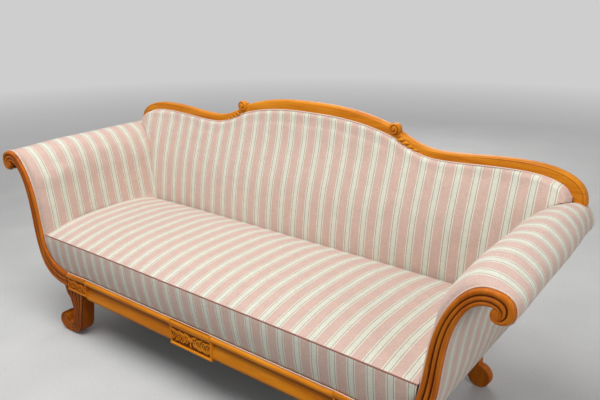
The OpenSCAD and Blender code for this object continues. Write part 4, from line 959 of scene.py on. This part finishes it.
def corner_panel():
    """A corner tablet: leaves fanning out from its lower inner corner, framed, under a plain band that falls towards the arm."""
    w = RAIL_X - MOULD_X
    x, s = np.meshgrid(np.linspace(0, w, 170), np.linspace(0, 1, 130), indexing="ij")
    top = FRAME_TOP + (CORNER_Z1 - FRAME_TOP) * x / w
    z = CORNER_Z0 + (top - 0.0008 - CORNER_Z0) * s
    stem = smooth_line([[0.008, 0.2330], [0.026, 0.2410], [0.048, 0.2350], [0.072, 0.2440], [0.096, 0.2380], [0.120, 0.2440]], 80)
    lines = [(stem, np.linspace(0.0028, 0.0020, 80), 1.0)]
    for k, at in enumerate(np.linspace(4, 74, 9).astype(int)):
        root = stem[at]
        lines.append(leaf_stroke(root, 98, 0.0250, 0.0040, -96))
        lines.append(leaf_stroke(root + [0.006, 0], -94, 0.0230, 0.0040, 86))
    field = (x > 0.007) & (x < w - 0.0056) & (z > CORNER_Z0 + 0.0105) & (z < top - 0.0205)
    relief = np.minimum(strokes(x, z, lines) * 1.7, 0.0066) * field
    ends = 0.0060 * np.maximum(bead(x, -0.0008, 0.0072), bead(x, w - 0.0056, w + 0.0008))
    foot = 0.0068 * bead(z, CORNER_Z0 - 0.001, CORNER_Z0 + 0.0110)
    height = np.maximum.reduce([relief, ends, foot, plain_band(z, top + 0.008)])
    # painted shade on the sunk ground between the carved strokes
    return panel_part(x + MOULD_X, z, height, 0.9 * (1 - smooth(height, 0.0002, 0.0044)), GROUND, FACING_T)


for side_name, side in SIDES:
    piece(f"carved_corner_tablet_{side_name}", sided([corner_panel()], side), rail_wood,
          f"corner_tablet_{side_name}", crease=50)


# ---- Legs --------------------------------------------------------------------------------------

LEG = np.array([[0.6561, 0.222, 0.7951, 0.222], [0.660, 0.206, 0.787, 0.206], [0.664, 0.193, 0.783, 0.192],
                [0.668, 0.181, 0.777, 0.180], [0.6725, 0.165, 0.762, 0.168], [0.677, 0.148, 0.753, 0.150],
                [0.681, 0.131, 0.746, 0.129], [0.6855, 0.112, 0.742, 0.112], [0.689, 0.096, 0.741, 0.098],
                [0.692, 0.080, 0.744, 0.087], [0.695, 0.062, 0.748, 0.077], [0.703, 0.040, 0.7515, 0.067],
                [0.721, 0.019, 0.756, 0.057], [0.752, 0.005, 0.762, 0.0485], [0.785, 0.001, 0.770, 0.044],
                [0.813, 0.003, 0.779, 0.043], [0.838, 0.013, 0.787, 0.0455], [0.8505, 0.029, 0.7935, 0.0525],
                [0.851, 0.046, 0.800, 0.061], [0.841, 0.063, 0.806, 0.067], [0.829, 0.075, 0.811, 0.070],
                [0.816, 0.083, 0.8155, 0.0725]])


def front_leg_part(y0=0.0135, y1=0.079, reeds=5):
    """The scroll leg: a band between two matched lines that runs down and hooks outwards. Its front is cut into half-round
    reeds that follow the band, and it is carried back as deep as the leg."""
    both = smooth_line(LEG, 170)
    a, b = np.maximum(both[:, :2], [0, 0.0005]), both[:, 2:]
    w = np.r_[0, 0, np.linspace(0, 1, 14 * reeds + 1), 1, 1]
    wide = np.linalg.norm(a - b, axis=1)[:, None]
    u = (w[None] * reeds) % 1.0 * 2 - 1
    u[:, -2:] = u[:, :2] = 1
    fall = np.minimum(0.48 / reeds * wide, 0.0075) * (1 - np.sqrt(np.clip(1 - u ** 2, 0, 1)))
    xz = a[:, None] + (b - a)[:, None] * w[None, :, None]
    front = np.stack([xz[..., 0], y0 + fall + 0 * xz[..., 0], xz[..., 1]], -1)
    front[:, 0, 1] = front[:, -1, 1] = (y0 + y1) / 2
    front[:, 1, 1] = front[:, -2, 1] = y0 + 0.006
    back = front[:, ::-1].copy()
    back[..., 1] = y1 + y0 - back[..., 1]
    # painted shade in the grooves between the reeds
    dark = smooth(np.abs(u), 0.50, 1.0) * np.ones_like(wide)
    dark[:, :2] = dark[:, -2:] = 0
    return *skin(np.concatenate([front, back], 1)), {"hollow": 0.9 * np.concatenate([dark, 0 * dark], 1)}


REAR_Z = [0.030, 0.045, 0.062, 0.080, 0.096, 0.112, 0.131, 0.148, 0.165, 0.181, 0.193, 0.206, 0.222]
REAR_IN = [0.7115, 0.702, 0.695, 0.692, 0.689, 0.6855, 0.681, 0.677, 0.6725, 0.668, 0.664, 0.660, 0.6561]
REAR_OUT = [0.735, 0.738, 0.741, 0.744, 0.746, 0.749, 0.755, 0.763, 0.772, 0.780, 0.785, 0.790, 0.7951]


def rear_leg_part(y0=0.7045, y1=0.7376, cx=0.7545, r=0.0430):
    """The plain rear leg: a neck that ends in a round foot. At each height the wider of the neck and the foot's circle
    gives each side, and the edges of the two flat faces are rounded."""
    z = np.r_[np.linspace(0.2219, 2 * r + 0.001, 26), r + r * np.cos(np.linspace(0.04, np.pi - 0.05, 46))]
    disc = np.sqrt(np.clip(r ** 2 - (z - r) ** 2, 0, None))
    left = np.where(z < 0.03, cx - disc, np.minimum(cx - disc, np.interp(z, REAR_Z, REAR_IN)))
    right = np.where(z < 0.05, cx + disc, np.maximum(cx + disc, np.interp(z, REAR_Z, REAR_OUT)))
    w = (1 - np.cos(np.pi * np.linspace(0, 1, 35))) / 2
    xs = left[:, None] + (right - left)[:, None] * w[None]
    edge = np.minimum(np.minimum(w[None], 1 - w[None]) * (right - left)[:, None], (z - z[-1])[:, None] + 0.0002)
    fall = 0.0045 * (1 - np.sqrt(np.clip(1 - (1 - np.clip(edge / 0.0045, 0, 1)) ** 2, 0, 1)))
    front = np.stack([xs, y0 + fall, np.broadcast_to(z[:, None], xs.shape)], -1)
    back = front[:, ::-1].copy()
    back[..., 1] = y1 - fall[:, ::-1]
    return skin(np.concatenate([front, back], 1))


for side_name, side in SIDES:
    piece(f"reeded_front_leg_{side_name}", sided([front_leg_part()], side), leg_finish,
          f"front_leg_{side_name}", crease=40)
    piece(f"plain_rear_leg_{side_name}", sided([rear_leg_part()], side), leg_finish,
          f"rear_leg_{side_name}", crease=40)


# ---- Trim --------------------------------------------------------------------------------------

def seat_seam(n=240):
    """Along the seam between the seat's top and its front border."""
    x = np.linspace(-0.886, 0.886, n)
    return np.stack([x, np.full(n, 0.0138), SEAT_H - 0.004 * (np.abs(x) / SEAT_X) ** 4 - 0.0005], -1)


piece("seat_seam_piping", [cord_along(seat_seam(), 0.0024, 10, (0, 0, 1))], shaded_seam_cord, crease=80)

x = np.linspace(-RAIL_X, RAIL_X, 400)
z = RAIL_TOP + 0.0014 - (RAIL_TOP - CORNER_Z1) * np.clip((np.abs(x) - MOULD_X) / (RAIL_X - MOULD_X), 0, 1)
rows = [cord_along(np.stack([x, np.full(400, 0.0092), z], -1), 0.0022, 8, (0, 0, 1))]
piece("seat_gimp", rows, gimp, "seat_braid", crease=80)

for side_name, side in SIDES:
    t = np.linspace(0.0, 6.3, 280)
    inner = arm_foot_drop(t, arm_line(ARM_IN, ARM_IN_MOVE, t, [0])[0])
    inner = inner + left_of(inner) * 0.0022
    t = np.linspace(0.45, 3.75, 160)
    outer = arm_line(ARM_OUT, ARM_OUT_MOVE, t, [0])[0]
    outer = outer - left_of(outer) * 0.0016
    cords = [cord_along(np.stack([l[:, 0], np.full(len(l), 0.0145), l[:, 1]], -1), 0.0024, 8) for l in (inner, outer)]
    piece(f"arm_welt_{side_name}", sided(cords, side), gimp, f"arm_braid_{side_name}", crease=80)

x = np.linspace(-HUMP_X, HUMP_X, 260)
low = np.stack([x, crest_z(x, 1)], -1)
end = crest_end(np.linspace(0, np.pi / 2 * 0.93, 50)[1:], 1)
line = np.vstack([(end * [-1, 1])[::-1], low, end])
line[:, 1] += 0.0034
piece("crest_welt", [cord_along(np.stack([line[:, 0], np.full(len(line), CREST_Y - 0.0026), line[:, 1]], -1), 0.0023, 8)],
      gimp, "crest_braid", crease=80)


# ---- Outside back, bottom cloth, inner parts ---------------------------------------------------

def cloth_panel(outline, y0, y1):
    """A flat cloth cut to an outline in x and z, as two faces and a rim."""
    m = len(outline)
    front = np.stack([outline[:, 0], np.full(m, y0), outline[:, 1]], -1)
    back = front.copy()
    back[:, 1] = y1
    v = np.vstack([front, back])
    return v, [np.arange(m)[None, :], np.arange(m)[None, ::-1] + m, np.stack(
        [np.arange(m), (np.arange(m) + 1) % m, (np.arange(m) + 1) % m + m, np.arange(m) + m], -1)], {"across": v[:, 0] - 0.042, "down": v[:, 2]}


t = np.linspace(0.0, 3.33, 60)
edge = arm_line(ARM_OUT, ARM_OUT_MOVE, t, [0.735])[0]
edge = edge + left_of(edge) * 0.004
roll = arm_skin(np.linspace(6.0, 3.75, 60), np.array([0.7355]))[0]
edge = np.vstack([edge, roll])
top = crest_end(np.linspace(np.pi / 2 * 0.97, 0, 40), 1)
mid_x = np.linspace(HUMP_X, -HUMP_X, 160)[1:-1]
outline = np.vstack([edge, top - [0, 0.0004], np.stack([mid_x, crest_z(mid_x, 1) - 0.0004], -1),
                     (top * [-1, 1])[::-1] - [0, 0.0004], (edge * [-1, 1])[::-1]])
area = 0.5 * abs(np.sum(outline[:, 0] * np.roll(outline[:, 1], -1) - outline[:, 1] * np.roll(outline[:, 0], -1)))
back_cloth = piece("outside_back_cover", [cloth_panel(outline, 0.7362, 0.7376)], striped, "outside_back", flat=True)

for nodes, finish in ((("rear_rail", "end_rail_left", "end_rail_right", "seat_stretchers", "corner_blocks", "back_post_left",
                        "back_post_right", "back_stiles", "back_tuck_rail", "arm_front_board_left", "arm_front_board_right",
                        "arm_rear_board_left", "arm_rear_board_right", "arm_roll_rail_left", "arm_roll_rail_right",
                        "arm_tuck_rail_left", "arm_tuck_rail_right", "leg_dowels", "rail_dowels"), beech),
                      (("seat_webbing", "back_webbing", "spring_hessian", "back_hessian", "arm_hessian_left",
                        "arm_hessian_right"), jute),
                      (("seat_springs", "facing_screws", "block_screws"), steel),
                      (("dust_cover",), lining)):
    for name in nodes:
        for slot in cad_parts[name].material_slots:
            slot.material = finish


# ---- Floor, lights, camera ---------------------------------------------------------------------

def floor():
    me = bpy.data.meshes.new("floor")
    c = 2 * np.pi * np.arange(96) / 96
    v = np.stack([9 * np.cos(c), 9 * np.sin(c), 0 * c], -1)
    me.from_pydata(v.tolist(), [], [list(range(96))])
    obj = bpy.data.objects.new("floor", me)
    p = Paint("floor_finish", specular_ior_level=0.2)
    soft = p.noise(3, 3)
    grain = p.noise(120, 3)
    colour = p.ramp(soft * 0.5 + grain * 0.5, [(0.3, linear(196, 196, 196)), (0.7, linear(212, 212, 211))])
    rays = [Socket(p, p.add("ShaderNodeLightPath", {}, {}, f"Is {kind} Ray").out) for kind in ("Camera", "Glossy", "Transmission")]
    colour = p.mix(rays[0].math("MAXIMUM", rays[0].math("MAXIMUM", rays[0], rays[1]), rays[2]), linear(120, 120, 120), colour)
    p.finish(colour, 0.8, grain, 0.0005, 0.2)
    far = (p.x * p.x + p.y * p.y) ** 0.5
    fade = p.add("ShaderNodeMapRange", {"clamp": True}, {0: far, 1: 2.6, 2: 7.5})
    glow = p.add("ShaderNodeEmission", {}, {"Color": BACKDROP, "Strength": 1.0})
    mixed = p.add("ShaderNodeMixShader", {}, {0: fade, 1: Socket(p, p.shader.outputs[0]), 2: glow})
    p.tree.links.new(mixed.out, p.tree.nodes["Material Output"].inputs[0])
    me.materials.append(p.material)
    bpy.context.scene.collection.objects.link(obj)


BACKDROP = linear(206, 206, 206)
floor()
world = bpy.data.worlds.new("studio")
bpy.context.scene.world = world
world.use_nodes = True
nodes, links = world.node_tree.nodes, world.node_tree.links
nodes.clear()
out = nodes.new("ShaderNodeOutputWorld")
room, seen, path = nodes.new("ShaderNodeBackground"), nodes.new("ShaderNodeBackground"), nodes.new("ShaderNodeLightPath")
pick, more, choose = nodes.new("ShaderNodeMath"), nodes.new("ShaderNodeMath"), nodes.new("ShaderNodeMixShader")
room.inputs[0].default_value, room.inputs[1].default_value = (1, 1, 1, 1), 0.275
seen.inputs[0].default_value, seen.inputs[1].default_value = BACKDROP, 1.0
pick.operation = more.operation = "MAXIMUM"
links.new(path.outputs["Is Camera Ray"], pick.inputs[0])
links.new(path.outputs["Is Transmission Ray"], pick.inputs[1])
links.new(pick.outputs[0], more.inputs[0])
links.new(path.outputs["Is Glossy Ray"], more.inputs[1])
links.new(more.outputs[0], choose.inputs[0])
links.new(room.outputs[0], choose.inputs[1])
links.new(seen.outputs[0], choose.inputs[2])
links.new(choose.outputs[0], out.inputs[0])


def lamp(name, where, target, size, power):
    """A soft square lamp that faces the target."""
    data = bpy.data.lights.new(name, "AREA")
    data.shape, data.size, data.energy = "SQUARE", size, power
    obj = bpy.data.objects.new(name, data)
    obj.location = where
    obj.rotation_euler = (Vector(target) - Vector(where)).to_track_quat("-Z", "Y").to_euler()
    bpy.context.scene.collection.objects.link(obj)


lamp("overhead_lamp", (-0.2, -0.95, 3.2), (0, 0, 0.4), 2.2, 92)
lamp("side_lamp", (3.8, -1.0, 1.7), (0.9, 0, 0.5), 1.7, 46)
lamp("rear_lamp", (-1.4, 3.4, 2.1), (0, 0.3, 0.5), 2.0, 38)


turn, tilt, roll = math.radians(39.584), math.radians(18.30), math.radians(-0.609)
back_way = Vector((math.sin(turn) * math.cos(tilt), -math.cos(turn) * math.cos(tilt), math.sin(tilt)))
right = Vector((0, 0, 1)).cross(back_way).normalized()
up = back_way.cross(right)
right, up = right * math.cos(roll) + up * math.sin(roll), up * math.cos(roll) - right * math.sin(roll)
data = bpy.data.cameras.new("camera")
data.lens, data.sensor_width = 41.74, 36.0
camera = bpy.data.objects.new("camera", data)
camera.matrix_world = Matrix.Translation((1.661, -1.768, 1.453)) @ Matrix((right, up, back_way)).transposed().to_4x4()
bpy.context.scene.collection.objects.link(camera)
bpy.context.scene.camera = camera
bpy.context.scene.view_settings.view_transform = "Standard"
